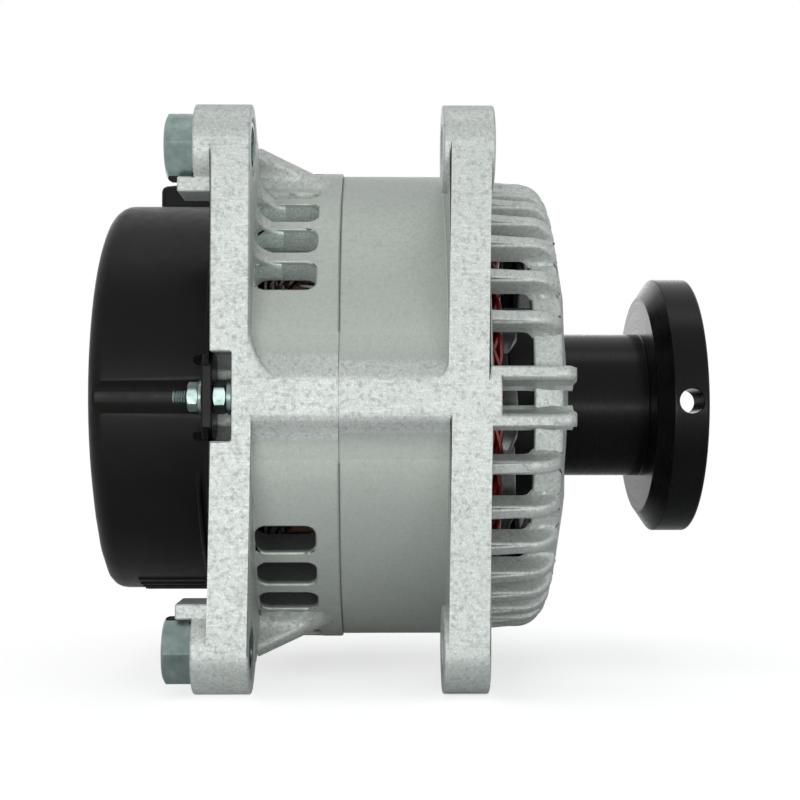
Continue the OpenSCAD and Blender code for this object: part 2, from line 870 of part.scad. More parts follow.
// A press-in diode: knurled can in its plate, with its lead.
module diode(x, t, a) {
    p = circle_point(diode_ring, a);
    rod(x, sink_t, diode_r, p[0], p[1]);
    rod(t > 0 ? x + sink_t : x + t, abs(t), diode_r - 1.6, p[0], p[1]);
}

module diodes() color(zinc) {
    for (a = negative_diode_angles) diode(negative_back_x, -2.4, a);
    for (a = positive_diode_angles) diode(positive_back_x, -2.4, a);
}

module rectifier_spacers() color(board) {
    for (a = sink_screw_angles) {
        p = circle_point(sink_screw_ring, a);
        translate([0, p[0], p[1]]) pipe(positive_front_x, sink_gap, 3.6, sink_screw_r + 0.1);
    }
}

module rectifier_screws() color(zinc) {
    head_t = 2.5;
    for (a = sink_screw_angles) {
        p = circle_point(sink_screw_ring, a);
        rod(positive_back_x - head_t, plate_back_x + end_wall - positive_back_x + head_t - 0.5,
            sink_screw_r - 0.02, p[0], p[1]);
        hexagon(positive_back_x - head_t, head_t, 6, p[0], p[1]);
    }
}

module b_plus_stud() color(brass) {
    nut_end_x = pocket_x - b_nut_t;
    groove_x = nut_end_x - b_groove_t;
    rod(positive_front_x, b_stud_head_t, b_stud_r + 2.4, stud_y, stud_z);
    rod(nut_end_x, positive_front_x - nut_end_x, b_stud_r, stud_y, stud_z);
    rod(groove_x, b_groove_t, b_groove_r, stud_y, stud_z);
    rod(b_stud_end_x, groove_x - b_stud_end_x, b_stud_r, stud_y, stud_z);
}

module b_plus_insulator() color(board) {
    inner_x = pocket_x + cover_wall;
    translate([0, stud_y, stud_z]) {
        pipe(inner_x, positive_back_x - inner_x, b_stud_r + 3, b_stud_r + 0.05);
        pipe(pocket_x, cover_wall, b_stud_r + 0.9, b_stud_r + 0.05);
    }
}

module b_plus_nut() color(brass) {
    difference() {
        hexagon(pocket_x - b_nut_t, b_nut_t, b_nut_af, stud_y, stud_z);
        rod(pocket_x - b_nut_t - through, b_nut_t + 2 * through, b_stud_r + 0.02, stud_y, stud_z);
    }
}

// Regulator, brush holder and connector

module brush_holder() color(black_plastic) {
    difference() {
        translate([holder_back_x, -holder_d / 2, holder_low]) {
            cube([holder_front_x - holder_back_x, holder_d, holder_high - holder_low]);
        }
        for (x = ring_ends) {
            translate([x - brush_w / 2 - brush_clear, -brush_d / 2 - brush_clear, holder_low - 1]) {
                cube([brush_w + 2 * brush_clear, brush_d + 2 * brush_clear, channel_high - holder_low + 1]);
            }
        }
    }
}

module regulator() color(black_plastic) {
    base_t = 4;
    x1 = plate_back_x;
    translate([holder_back_x, regulator_y0, regulator_z0]) {
        cube([holder_front_x - holder_back_x, regulator_y1 - regulator_y0, regulator_z1 - regulator_z0]);
    }
    translate([holder_front_x - 1, regulator_y0 + 2, regulator_z0 + 2]) {
        cube([x1 - holder_front_x + 1, base_t * 3, regulator_z1 - regulator_z0 - 4]);
    }
    translate([socket_back_x + 4, socket_y0 + 2, regulator_z1 - 1]) {
        cube([socket_front_x - socket_back_x - 8, socket_y1 - socket_y0 - 4, socket_z0 - regulator_z1 + 1]);
    }
}

module connector_socket() color(black_plastic) {
    difference() {
        translate([socket_back_x, socket_y0, socket_z0]) {
            cube([socket_front_x - socket_back_x, socket_y1 - socket_y0, socket_z1 - socket_z0]);
        }
        translate([socket_back_x + socket_wall, socket_y1 - socket_depth, socket_z0 + socket_wall + 1.5]) {
            cube([socket_front_x - socket_back_x - 2 * socket_wall, socket_depth + 1,
                socket_z1 - socket_z0 - 2 * socket_wall - 1.5]);
        }
    }
}

module brush(x) {
    difference() {
        translate([x - brush_w / 2, -brush_d / 2, brush_low - 0.8]) cube([brush_w, brush_d, brush_len + 0.8]);
        rod(x - brush_w, 2 * brush_w, ring_r + brush_gap);
    }
}

module inner_brush() color(carbon) {
    brush(ring_ends[0]);
}

module outer_brush() color(carbon) {
    brush(ring_ends[1]);
}

// A coil spring as one swept tube, from the back of a brush to the roof of its channel.
module coil_spring(x) {
    wire_r = 0.35;
    coil_mid_r = 1.8;
    turns = 5;
    per_turn = 10;
    sides = 6;
    rise = spring_len - 2 * wire_r - 0.1;
    count = turns * per_turn;
    rings = [for (i = [0 : count], j = [0 : sides - 1])
        let (a = 360 * i / per_turn, r = coil_mid_r + wire_r * cos(360 * j / sides))
        [r * cos(a), r * sin(a), wire_r + rise * i / count + wire_r * sin(360 * j / sides)]];
    lower = [for (i = [0 : count - 1], j = [0 : sides - 1])
        let (n = (j + 1) % sides) [i * sides + j, (i + 1) * sides + j, (i + 1) * sides + n]];
    upper = [for (i = [0 : count - 1], j = [0 : sides - 1])
        let (n = (j + 1) % sides) [i * sides + j, (i + 1) * sides + n, i * sides + n]];
    caps = [[for (j = [0 : sides - 1]) j], [for (j = [sides - 1 : -1 : 0]) count * sides + j]];
    translate([x, 0, brush_high + 0.05]) polyhedron(rings, concat(lower, upper, caps), convexity = 8);
}

module inner_brush_spring() color(steel) {
    coil_spring(ring_ends[0]);
}

module outer_brush_spring() color(steel) {
    coil_spring(ring_ends[1]);
}

// Bearings

function race_t(r, in_r) = (r - in_r) * 0.27;

module bearing_outer(x, t, r, in_r) {
    pipe(x, t, r - 0.01, r - race_t(r, in_r));
}

module bearing_inner(x, t, r, in_r) {
    pipe(x, t, in_r + race_t(r, in_r), in_r);
}

module bearing_balls(x, t, r, in_r, count) {
    gap = r - in_r - 2 * race_t(r, in_r);
    for (k = [0 : count - 1]) at(k * 360 / count) {
        translate([x + t / 2, 0, (r + in_r) / 2]) sphere(r = gap / 2 - 0.05);
    }
}

module drive_bearing_outer() color(steel) {
    bearing_outer(bearing_back_x, drive_bearing_t, drive_bearing_r, shaft_r);
}

module drive_bearing_inner() color(steel) {
    bearing_inner(bearing_back_x, drive_bearing_t, drive_bearing_r, shaft_r + 0.01);
}

module drive_bearing_balls() color(steel) {
    bearing_balls(bearing_back_x, drive_bearing_t, drive_bearing_r, shaft_r, 7);
}

module rear_bearing_outer() color(steel) {
    bearing_outer(rear_bearing_back_x, rear_bearing_t, rear_bearing_r, rear_shaft_r);
}

module rear_bearing_inner() color(steel) {
    bearing_inner(rear_bearing_back_x, rear_bearing_t, rear_bearing_r, rear_shaft_r + 0.01);
}

module rear_bearing_balls() color(steel) {
    bearing_balls(rear_bearing_back_x, rear_bearing_t, rear_bearing_r, rear_shaft_r, 8);
}

module bearing_retainer() color(zinc) {
    difference() {
        pipe(bearing_back_x - retainer_t, retainer_t, bearing_boss_r, drive_bearing_r - 4.5);
        for (a = [45 : 90 : 315]) at(a) {
            rod(bearing_back_x - retainer_t - through, retainer_t + 2 * through, retainer_screw_r + 0.2, 0,
                retainer_ring_r);
        }
    }
}

module retainer_screws() color(zinc) {
    head_t = 1.8;
    for (a = [45 : 90 : 315]) at(a) {
        rod(bearing_back_x - retainer_t - head_t, head_t, retainer_screw_r + 1.2, 0, retainer_ring_r);
        rod(bearing_back_x - retainer_t, retainer_t + 7, retainer_screw_r - 0.02, 0, retainer_ring_r);
    }
}

// Rotor

module shaft() color(steel) {
    rod(pole_back_x - fan_t, -well_depth - pole_back_x + fan_t, shaft_r);
    rod(-well_depth, shaft_tip_x + well_depth, thread_r);
    rod(plate_back_x, pole_back_x - fan_t - plate_back_x, rear_shaft_r);
    rod(shaft_tail_x, plate_back_x - shaft_tail_x, tail_r);
}

// One half of the claw-pole rotor: its disc and fingers reach back from station x along dir.
module claw_pole(x, dir, phase) {
    reach = pole_len - 3;
    hub_len = (pole_len - 2 * pole_disc_t) / 2;
    module finger() {
        intersection() {
            translate([0, 0, coil_r + 1]) linear_extrude(pole_r) polygon([[x, -finger_root_w / 2],
                [x, finger_root_w / 2], [x + dir * pole_disc_t, finger_root_w / 2],
                [x + dir * reach, finger_tip_w / 2], [x + dir * reach, -finger_tip_w / 2],
                [x + dir * pole_disc_t, -finger_root_w / 2]]);
            turned([[coil_r, x], [pole_r - 2, x], [pole_r, x + dir * 2], [pole_r, x + dir * reach],
                [pole_r - finger_tip, x + dir * reach], [pole_r - finger_root, x + dir * pole_disc_t],
                [coil_r, x + dir * pole_disc_t]]);
        }
    }
    difference() {
        union() {
            for (k = [0 : claw_count - 1]) at(phase + k * 360 / claw_count) finger();
            rod(min(x, x + dir * pole_disc_t), pole_disc_t, coil_r + 2);
            rod(min(x, x + dir * (pole_disc_t + hub_len)), pole_disc_t + hub_len, 20);
        }
        rod(min(x, x + dir * pole_len) - through, pole_len + 2 * through, shaft_r);
    }
}

module drive_claw_pole() color(core_steel) {
    claw_pole(pole_front_x, -1, 0);
}

module rear_claw_pole() color(core_steel) {
    claw_pole(pole_back_x, 1, 180 / claw_count);
}

module field_coil() color(copper) {
    pipe(pole_back_x + pole_disc_t + coil_gap, pole_len - 2 * (pole_disc_t + coil_gap), coil_r, 20.2);
}

// Fan blade, swept back along a curve, seen along the shaft.
module fan_blade(t) {
    steps = 6;
    function edge(i, lift) = circle_point(fan_in_r + (fan_r - fan_in_r) * i / steps,
        blade_sweep * pow(i / steps, 1.3) + lift);
    polygon(concat([for (i = [0 : steps]) edge(i, 0)], [for (i = [steps : -1 : 0]) edge(i, t)]));
}

module fan(x, dir, height) {
    blade_angle = 2.2;
    pipe(min(x, x + dir * fan_t), fan_t, fan_r - 4, shaft_r);
    slab(dir > 0 ? x + fan_t - eps : x - height, height - fan_t + eps) {
        for (k = [0 : blade_count - 1]) rotate(k * 360 / blade_count) fan_blade(blade_angle);
    }
}

module drive_fan() color(steel) {
    fan(pole_front_x, 1, drive_fan_h);
}

module rear_fan() color(steel) {
    fan(pole_back_x, -1, rear_fan_h);
}

module slip_ring_sleeve() color(board) {
    wall_r = ring_r - 0.2;
    half = ring_w / 2;
    turned([[tail_r, sleeve_back_x], [wall_r, sleeve_back_x], [wall_r, ring_ends[1] - half],
        [ring_seat_r, ring_ends[1] - half], [ring_seat_r, ring_ends[1] + half], [wall_r, ring_ends[1] + half],
        [wall_r, ring_ends[0] - half], [ring_seat_r, ring_ends[0] - half], [ring_seat_r, ring_ends[0] + half],
        [wall_r, ring_ends[0] + half], [wall_r, sleeve_front_x], [tail_r, sleeve_front_x]]);
}

module slip_rings() color(copper) {
    for (x = ring_ends) pipe(x - ring_w / 2, ring_w, ring_r, ring_seat_r);
}

// Drive hub

module drive_hub() color(black_steel) {
    rim_back = -rim_t + chamfer_t;
    difference() {
        turned([[shaft_r, bearing_front_x], [hub_nose_r, bearing_front_x], [hub_nose_r, barrel_back_x],
            [barrel_r, barrel_back_x], [barrel_r, -rim_t], [chamfer_r, -rim_t], [rim_r, rim_back],
            [rim_r, -0.6], [rim_r - 0.6, 0], [pilot_r + 0.6, 0], [pilot_r, -0.6], [pilot_r, -pilot_depth],
            [well_r, -pilot_depth], [well_r, -well_depth], [shaft_r, -well_depth]]);
        for (k = [0 : face_bolts - 1]) at(45 + k * 360 / face_bolts) {
            rod(-face_hole_depth, face_hole_depth + through, face_hole_r, 0, face_pcd / 2);
        }
        translate([-bar_hole_x, 0, 0]) rotate([90, 0, 0]) {
            cylinder(h = 2 * rim_r + 2, r = bar_hole_r, center = true);
        }
    }
}

module hub_washer() color(zinc) {
    pipe(-well_depth, hub_washer_t, hub_washer_r, thread_r + 0.05);
}

module hub_nut() color(zinc) {
    difference() {
        hexagon(-well_depth + hub_washer_t, hub_nut_t, hub_nut_af);
        rod(-well_depth, hub_washer_t + hub_nut_t + through, thread_r + 0.01);
    }
}

// Mount bushes

module mount_bush(side) {
    sleeve_end = plate_front_x - 0.2;
    difference() {
        union() {
            hexagon(rear_lug_back_x - bush_head, bush_head, bush_af, -lug_out, side * lug_rise);
            rod(rear_lug_back_x - eps, sleeve_end - rear_lug_back_x + eps, bush_r, -lug_out, side * lug_rise);
        }
        rod(rear_lug_back_x - bush_head - through, sleeve_end - rear_lug_back_x + bush_head + 2 * through,
            bush_bore_r, -lug_out, side * lug_rise);
    }
}

module upper_mount_bush() color(zinc) {
    mount_bush(1);
}

module lower_mount_bush() color(zinc) {
    mount_bush(-1);
}

rear_bracket();
drive_bracket();
stator_core();
drive_end_winding();
rear_end_winding();
through_bolts();
bolt_washers();
cover_nuts();
cover_nut_washers();
rear_cover();
negative_heat_sink();
positive_heat_sink();
diodes();
rectifier_spacers();
rectifier_screws();
b_plus_stud();
b_plus_insulator();
b_plus_nut();
brush_holder();
regulator();
connector_socket();
inner_brush();
outer_brush();
inner_brush_spring();
outer_brush_spring();
drive_bearing_outer();
drive_bearing_inner();
drive_bearing_balls();
rear_bearing_outer();
rear_bearing_inner();
rear_bearing_balls();
bearing_retainer();
retainer_screws();
shaft();
drive_claw_pole();
rear_claw_pole();
field_coil();
drive_fan();
rear_fan();
slip_ring_sleeve();
slip_rings();
drive_hub();
hub_washer();
hub_nut();
upper_mount_bush();
lower_mount_bush();
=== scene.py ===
"""Twin-lug alternator: the look of every piece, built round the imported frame."""

import json
import math

import bmesh
import bpy
from mathutils import Matrix, Vector


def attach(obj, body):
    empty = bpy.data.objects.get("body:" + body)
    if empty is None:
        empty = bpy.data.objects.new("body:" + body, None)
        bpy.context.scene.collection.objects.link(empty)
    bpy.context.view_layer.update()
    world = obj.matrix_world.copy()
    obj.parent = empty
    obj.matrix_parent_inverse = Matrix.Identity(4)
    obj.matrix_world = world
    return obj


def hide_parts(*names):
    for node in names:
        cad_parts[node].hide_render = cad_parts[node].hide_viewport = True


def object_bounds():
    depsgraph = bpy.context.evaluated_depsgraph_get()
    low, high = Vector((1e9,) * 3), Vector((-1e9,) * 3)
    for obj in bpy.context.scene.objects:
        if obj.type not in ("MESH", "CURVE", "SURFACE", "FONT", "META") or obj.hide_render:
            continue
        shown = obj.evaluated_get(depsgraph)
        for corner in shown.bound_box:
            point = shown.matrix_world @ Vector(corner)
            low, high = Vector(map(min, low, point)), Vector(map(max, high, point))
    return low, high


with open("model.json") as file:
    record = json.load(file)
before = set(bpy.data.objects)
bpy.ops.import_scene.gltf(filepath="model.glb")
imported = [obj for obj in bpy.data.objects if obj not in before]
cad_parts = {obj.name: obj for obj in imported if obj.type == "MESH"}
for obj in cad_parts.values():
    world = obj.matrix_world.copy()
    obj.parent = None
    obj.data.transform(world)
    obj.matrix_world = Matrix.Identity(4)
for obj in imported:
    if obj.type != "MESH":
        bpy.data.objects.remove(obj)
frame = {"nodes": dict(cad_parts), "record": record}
cad_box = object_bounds()

MM = 0.001

# Stations along the shaft and radii, in millimetres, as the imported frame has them.
SEAM_X = -106.3
PLATE_FRONT_X = -129.6
SLOT_END_X = -111.6
ARM_BACK_X = -76.9
ARM_FRONT_X = -66.3
VENT_FRONT_X = -53.3
FIN_END_X = -45.6
BOSS_FIN_END_X = -43.3
STATOR_FRONT_X = -80.0
STATOR_BACK_X = -112.0
REAR_R = 71.7
DRIVE_R = 70.9
SHELF_R = 62.0
FIN_TOP_R = 68.7
BOSS_TOP_R = 74.8
BOSS_FIN_TOP_R = 73.6
BOLT_RING_R = 69.5
BOLT_COUNT = 3
BOLT_STEP = 120
FRONT_BOLT_TURN = 90
LUG_Y = -63.0
LUG_Z = 67.5
COVER_R = 59.2
COVER_Z = 2.4
COVER_END_X = -175.7
BUSH_HEAD_BACK_X = -152.8
BUSH_HEAD_FRONT_X = -144.9
BUSH_SLEEVE_END_X = -129.8
BUSH_ACROSS = 17.0
BUSH_R = 8.0
BUSH_BORE_R = 5.1

# Half the gap left at the seam, and how far a shape laps into the plate beside it, in millimetres.
SEAM_GAP = 0.05
LAP = 0.5

# The angle below which neighbouring faces are shaded as one.
SMOOTH_UNDER = math.radians(35)


# Finishes


def colour(red, green, blue):
    """A colour written as it shows on screen, as the shader wants it."""
    bend = [c / 12.92 if c <= 0.04045 else ((c + 0.055) / 1.055) ** 2.4 for c in (red, green, blue)]
    return (*bend, 1.0)


class Finish:
    """One material: its shader, and short ways to wire grain, blotches and bump into it."""

    def __init__(self, name, **fixed):
        self.material = bpy.data.materials.new(name)
        self.material.use_nodes = True
        self.tree = self.material.node_tree
        self.shader = self.tree.nodes["Principled BSDF"]
        for socket, value in fixed.items():
            self.shader.inputs[socket.replace("_", " ")].default_value = value
        self.place = self.add("ShaderNodeTexCoord").outputs["Object"]

    def add(self, kind, links=None, **values):
        node = self.tree.nodes.new(kind)
        for key, value in values.items():
            setattr(node, key, value)
        for socket, source in (links or {}).items():
            target = node.inputs[socket]
            if isinstance(source, bpy.types.NodeSocket):
                self.tree.links.new(source, target)
            else:
                target.default_value = source
        return node

    def maths(self, operation, first, second=None):
        links = {0: first} if second is None else {0: first, 1: second}
        return self.add("ShaderNodeMath", links, operation=operation).outputs[0]

    def noise(self, per_metre, detail=3.0, roughness=0.55, place=None):
        links = {"Vector": place or self.place, "Scale": per_metre, "Detail": detail, "Roughness": roughness}
        return self.add("ShaderNodeTexNoise", links).outputs["Fac"]

    def stretch(self, along, across, rise, place=None):
        """The place, with each axis scaled, so that a noise runs in streaks."""
        links = {"Vector": place or self.place, "Scale": (along, across, rise)}
        return self.add("ShaderNodeMapping", links).outputs["Vector"]

    def from_shaft(self):
        """Station, the place's parts and its distance from the shaft."""
        parts = self.add("ShaderNodeSeparateXYZ", {0: self.place})
        square = [self.maths("MULTIPLY", parts.outputs[i], parts.outputs[i]) for i in (1, 2)]
        return parts, self.maths("SQRT", self.maths("ADD", *square))

    def turned_place(self, along=1.0, out=1.0, around=0.02):
        """The place as station, radius and a little of the angle: marks then run round the shaft."""
        parts, radius = self.from_shaft()
        angle = self.maths("ARCTAN2", parts.outputs[2], parts.outputs[1])
        links = {
            0: self.maths("MULTIPLY", parts.outputs[0], along),
            1: self.maths("MULTIPLY", radius, out),
            2: self.maths("MULTIPLY", self.maths("ABSOLUTE", angle), around * 0.01),
        }
        return self.add("ShaderNodeCombineXYZ", links).outputs[0]

    def ramp(self, source, stops):
        node = self.add("ShaderNodeValToRGB", {"Fac": source})
        marks = node.color_ramp.elements
        while len(marks) < len(stops):
            marks.new(0.5)
        for mark, (at, tone) in zip(marks, stops):
            mark.position = at
            mark.color = tone
        return node.outputs["Color"]

    def spread(self, source, low, high, start=0.3, stop=0.7):
        links = {"Value": source, "From Min": start, "From Max": stop, "To Min": low, "To Max": high}
        return self.add("ShaderNodeMapRange", links).outputs["Result"]

    def rise(self, source, start, stop, top=1.0):
        """Nothing up to one place and the top value past the other, in millimetres."""
        return self.spread(source, 0.0, top, start * MM, stop * MM)

    def fall(self, source, start, stop, top=1.0):
        """The top value up to one place and nothing past the other, in millimetres."""
        return self.spread(source, top, 0.0, start * MM, stop * MM)

    def blend(self, factor, first, second):
        node = self.add("ShaderNodeMix", data_type="RGBA")
        for socket, source in zip((node.inputs[0], node.inputs[6], node.inputs[7]), (factor, first, second)):
            if isinstance(source, bpy.types.NodeSocket):
                self.tree.links.new(source, socket)
            else:
                socket.default_value = source
        return node.outputs[2]

    def wear_colour(self, source):
        self.tree.links.new(source, self.shader.inputs["Base Color"])

    def wear_roughness(self, source):
        self.tree.links.new(source, self.shader.inputs["Roughness"])

    def wear_bump(self, *layers):
        """Bump from (height, strength, depth in mm) layers, one on another."""
        normal = None
        for height, strength, depth in layers:
            links = {"Height": height, "Strength": strength, "Distance": depth * MM}
            if normal:
                links["Normal"] = normal
            normal = self.add("ShaderNodeBump", links).outputs["Normal"]
        self.tree.links.new(normal, self.shader.inputs["Normal"])


def cast_aluminium():
    """Sand cast and shot blasted: salt-and-pepper grain and pits, smoother on the drum, streaked on the front.

    The walls behind the windows and in the lower slots get painted shade, and the upper slot walls get a painted
    sandy highlight."""
    f = Finish("cast_aluminium", Metallic=0.42)
    parts, radius = f.from_shaft()
    station, side, height = (parts.outputs[i] for i in range(3))
    drum_r = (REAR_R + DRIVE_R) / 2
    under_drum = (REAR_R - 1.7, REAR_R - 0.6)
    off_drum = f.maths("ABSOLUTE", f.maths("SUBTRACT", radius, drum_r * MM))
    rough = f.spread(off_drum, 0.3, 1.0, 0.8 * MM, 1.1 * MM)
    front = f.fall(side, -BOSS_TOP_R - 0.4, -BOSS_TOP_R + 0.4)
    # Painted shade on the casting walls behind the windows.
    window_shade = f.maths("MULTIPLY", f.fall(radius, SHELF_R - 2.5, SHELF_R - 1),
                             f.fall(station, FIN_END_X - 1.9, FIN_END_X - 0.9))
    slots = f.maths("MULTIPLY", f.rise(station, PLATE_FRONT_X + 0.1, PLATE_FRONT_X + 0.3),
                    f.fall(station, SLOT_END_X - 0.6, SLOT_END_X))
    # Painted shade on the lower slot walls.
    lower = f.maths("MULTIPLY", f.fall(radius, *under_drum, 0.85), f.fall(height, -30, -20))
    # Painted highlight on the upper slot walls.
    upper = f.maths("MULTIPLY", f.fall(radius, *under_drum, 0.75), f.rise(height, 10, 25))
    dark = f.maths("MAXIMUM", window_shade, f.maths("MULTIPLY", lower, slots))
    painted_light = f.maths("MULTIPLY", upper, slots)
    cloud = f.noise(38, 3, 0.5)
    grain = f.noise(1900, 3, 0.7)
    coarse = f.noise(820, 3, 0.6)
    streaks = f.noise(1500, 4, 0.7, f.stretch(0.13, 1, 1))
    tone = f.ramp(cloud, [(0.3, colour(0.70, 0.722, 0.706)), (0.7, colour(0.745, 0.765, 0.75))])
    tone = f.blend(rough, colour(0.66, 0.685, 0.655), tone)
    tone = f.blend(f.maths("MULTIPLY", rough, f.spread(grain, 0.0, 0.5, 0.5, 0.72)), tone, colour(0.95, 0.965, 0.96))
    tone = f.blend(f.maths("MULTIPLY", rough, f.spread(coarse, 0.0, 0.42, 0.5, 0.7)), tone,
                   colour(0.48, 0.505, 0.49))
    tone = f.blend(f.maths("MULTIPLY", front, f.spread(streaks, 0.0, 0.75, 0.5, 0.7)), tone,
                   colour(0.88, 0.9, 0.885))
    # Painted highlight: the upper slot walls are lightened with a sandy grain, as if lit.
    tone = f.blend(painted_light, tone, f.ramp(grain, [(0.35, colour(0.72, 0.78, 0.75)), (0.65, colour(0.96, 1, 0.98))]))
    # Painted shade: near-black where shade falls behind the windows and in the lower slots.
    f.wear_colour(f.blend(dark, tone, colour(0.1, 0.105, 0.1)))
    f.wear_roughness(f.spread(coarse, 0.44, 0.6))
    f.wear_bump((f.noise(240, 3, 0.5), 0.3, 0.22), (coarse, f.maths("MULTIPLY", rough, 0.8), 0.12),
                (grain, f.maths("MULTIPLY", rough, 0.85), 0.06), (streaks, f.maths("MULTIPLY", front, 0.8), 0.1))
    return f.material


def cover_plastic():
    """Satin black moulding with a fine grain and a little dust, and shinier channels at the bolts, darkened and
    browned with painted shade.
    """
    f = Finish("cover_plastic", Metallic=0.0, IOR=1.5, Specular_IOR_Level=0.11)
    channel_r = 11.9
    parts, _radius = f.from_shaft()
    flat = f.add("ShaderNodeCombineXYZ", {1: parts.outputs[1], 2: parts.outputs[2]}).outputs[0]
    near = None
    for i in range(BOLT_COUNT):
        turn = math.radians(BOLT_STEP * i)
        bolt = (0, -BOLT_RING_R * MM * math.cos(turn), BOLT_RING_R * MM * math.sin(turn))
        gap = f.add("ShaderNodeVectorMath", {0: flat, 1: bolt}, operation="DISTANCE").outputs["Value"]
        near = f.maths("MINIMUM", near, gap) if near else gap
    channel = f.fall(near, channel_r - 0.3, channel_r + 0.3, 0.8)
    dust = f.noise(60, 4, 0.6)
    tone = f.ramp(dust, [(0.35, colour(0.042, 0.05, 0.042)), (0.7, colour(0.07, 0.078, 0.068))])
    # Painted shade: the bolt channels are darkened and browned.
    f.wear_colour(f.blend(channel, tone, colour(0.02, 0.02, 0.012)))
    f.wear_roughness(f.maths("SUBTRACT", f.spread(f.noise(300, 3), 0.36, 0.46), f.maths("MULTIPLY", channel, 0.14)))
    f.wear_bump((f.noise(70, 2), 0.15, 0.2), (f.noise(2600, 2), 0.3, 0.05))
    return f.material


def hub_black():
    """Turned and blacked steel: fine rings round the shaft, satin."""
    f = Finish("hub_black", Metallic=0.0, IOR=1.6, Specular_IOR_Level=0.1)
    rings = f.noise(5200, 2, 0.5, f.turned_place())
    cloud = f.noise(90, 3)
    f.wear_colour(f.ramp(cloud, [(0.3, colour(0.022, 0.027, 0.022)), (0.7, colour(0.045, 0.052, 0.045))]))
    f.wear_roughness(f.spread(rings, 0.2, 0.32))
    f.wear_bump((rings, 0.35, 0.03), (cloud, 0.1, 0.1))
    return f.material


def zinc_plate():
    """Bluish zinc plate over turned steel: soft cloudy reflections and small marks."""
    f = Finish("zinc_plate", Metallic=0.95)
    cloud = f.noise(230, 4, 0.6)
    f.wear_colour(f.ramp(cloud, [(0.3, colour(0.41, 0.475, 0.465)), (0.55, colour(0.49, 0.55, 0.535)),
                                 (0.75, colour(0.58, 0.62, 0.605))]))
    f.wear_roughness(f.spread(f.noise(700, 3), 0.26, 0.44))
    f.wear_bump((f.noise(1500, 3), 0.25, 0.03), (f.noise(160, 2), 0.15, 0.15))
    return f.material


def plain_steel():
    """Pressed and ground steel, with short marks along the grind."""
    f = Finish("plain_steel", Metallic=0.95)
    marks = f.noise(1400, 3, 0.6, f.stretch(0.15, 1, 1))
    f.wear_colour(f.ramp(f.noise(180, 4), [(0.3, colour(0.36, 0.38, 0.37)), (0.7, colour(0.5, 0.52, 0.51))]))
    f.wear_roughness(f.spread(marks, 0.3, 0.5))
    f.wear_bump((marks, 0.3, 0.03))
    return f.material


def enamelled_copper():
    """Copper wire under dark red enamel and a coat of varnish; the wires turn almost black towards the rear end."""
    f = Finish("enamelled_copper", Metallic=0.35, IOR=1.5, Coat_Weight=0.6, Coat_Roughness=0.12)
    depth = f.noise(260, 4, 0.6)
    red = f.ramp(depth, [(0.3, colour(0.24, 0.03, 0.025)), (0.55, colour(0.45, 0.07, 0.055)),
                         (0.75, colour(0.6, 0.16, 0.11))])
    parts = f.add("ShaderNodeSeparateXYZ", {0: f.place})
    # Almost black towards the rear end.
    rear = f.fall(parts.outputs[0], -100, -90)
    f.wear_colour(f.blend(rear, red, colour(0.1, 0.06, 0.05)))
    f.wear_roughness(f.spread(f.noise(900, 2), 0.25, 0.42))
    f.wear_bump((depth, 0.3, 0.12))
    return f.material


def core_steel():
    """Stacked sheets seen edge on, and forged poles, both varnished dark."""
    f = Finish("core_steel", Metallic=0.6)
    parts = f.add("ShaderNodeSeparateXYZ", {0: f.place})
    one_wave_per_sheet = 12566.0
    sheet = f.maths("SINE", f.maths("MULTIPLY", parts.outputs[0], one_wave_per_sheet))
    f.wear_colour(f.ramp(f.noise(140, 4), [(0.3, colour(0.2, 0.205, 0.2)), (0.7, colour(0.34, 0.345, 0.335))]))
    f.wear_roughness(f.spread(f.noise(500, 3), 0.4, 0.62))
    f.wear_bump((sheet, 0.2, 0.05), (f.noise(600, 3), 0.3, 0.08))
    return f.material


def terminal_brass():
    """Turned brass, a little dull."""
    f = Finish("terminal_brass", Metallic=1.0)
    cloud = f.noise(300, 4)
    f.wear_colour(f.ramp(cloud, [(0.3, colour(0.62, 0.5, 0.25)), (0.7, colour(0.8, 0.69, 0.4))]))
    f.wear_roughness(f.spread(f.noise(900, 2), 0.26, 0.42))
    f.wear_bump((f.noise(1500, 2), 0.2, 0.03))
    return f.material


def brush_carbon():
    """Pressed carbon and copper dust."""
    f = Finish("brush_carbon", Metallic=0.1)
    grain = f.noise(2000, 4, 0.7)
    f.wear_colour(f.ramp(grain, [(0.3, colour(0.1, 0.1, 0.1)), (0.7, colour(0.24, 0.24, 0.235))]))
    f.wear_roughness(f.spread(grain, 0.5, 0.7))
    f.wear_bump((grain, 0.35, 0.05))
    return f.material


def insulation():
    """Brown resin board with its paper grain."""
    f = Finish("insulation", Metallic=0.0)
    grain = f.noise(900, 4, 0.6, f.stretch(0.2, 1, 1))
    f.wear_colour(f.ramp(grain, [(0.3, colour(0.2, 0.13, 0.08)), (0.7, colour(0.34, 0.25, 0.16))]))
    f.wear_roughness(f.spread(grain, 0.4, 0.58))
    f.wear_bump((grain, 0.3, 0.05))
    return f.material


FINISHES = {
    "cast_aluminium": cast_aluminium(),
    "cover_plastic": cover_plastic(),
    "hub_black": hub_black(),
    "zinc_plate": zinc_plate(),
    "plain_steel": plain_steel(),
    "enamelled_copper": enamelled_copper(),
    "core_steel": core_steel(),
    "terminal_brass": terminal_brass(),
    "brush_carbon": brush_carbon(),
    "insulation": insulation(),
}


# Shapes, in millimetres until they are placed


def place(name, bm):
    """A piece's object from its shape: millimetres become metres, and sharp edges stay sharp."""
    for vert in bm.verts:
        vert.co *= MM
    mesh = bpy.data.meshes.new(name)
    bm.to_mesh(mesh)
    bm.free()
    mesh.shade_smooth()
    mesh.set_sharp_from_angle(angle=SMOOTH_UNDER)
    piece = bpy.data.objects.new(name, mesh)
    bpy.context.scene.collection.objects.link(piece)
    return piece


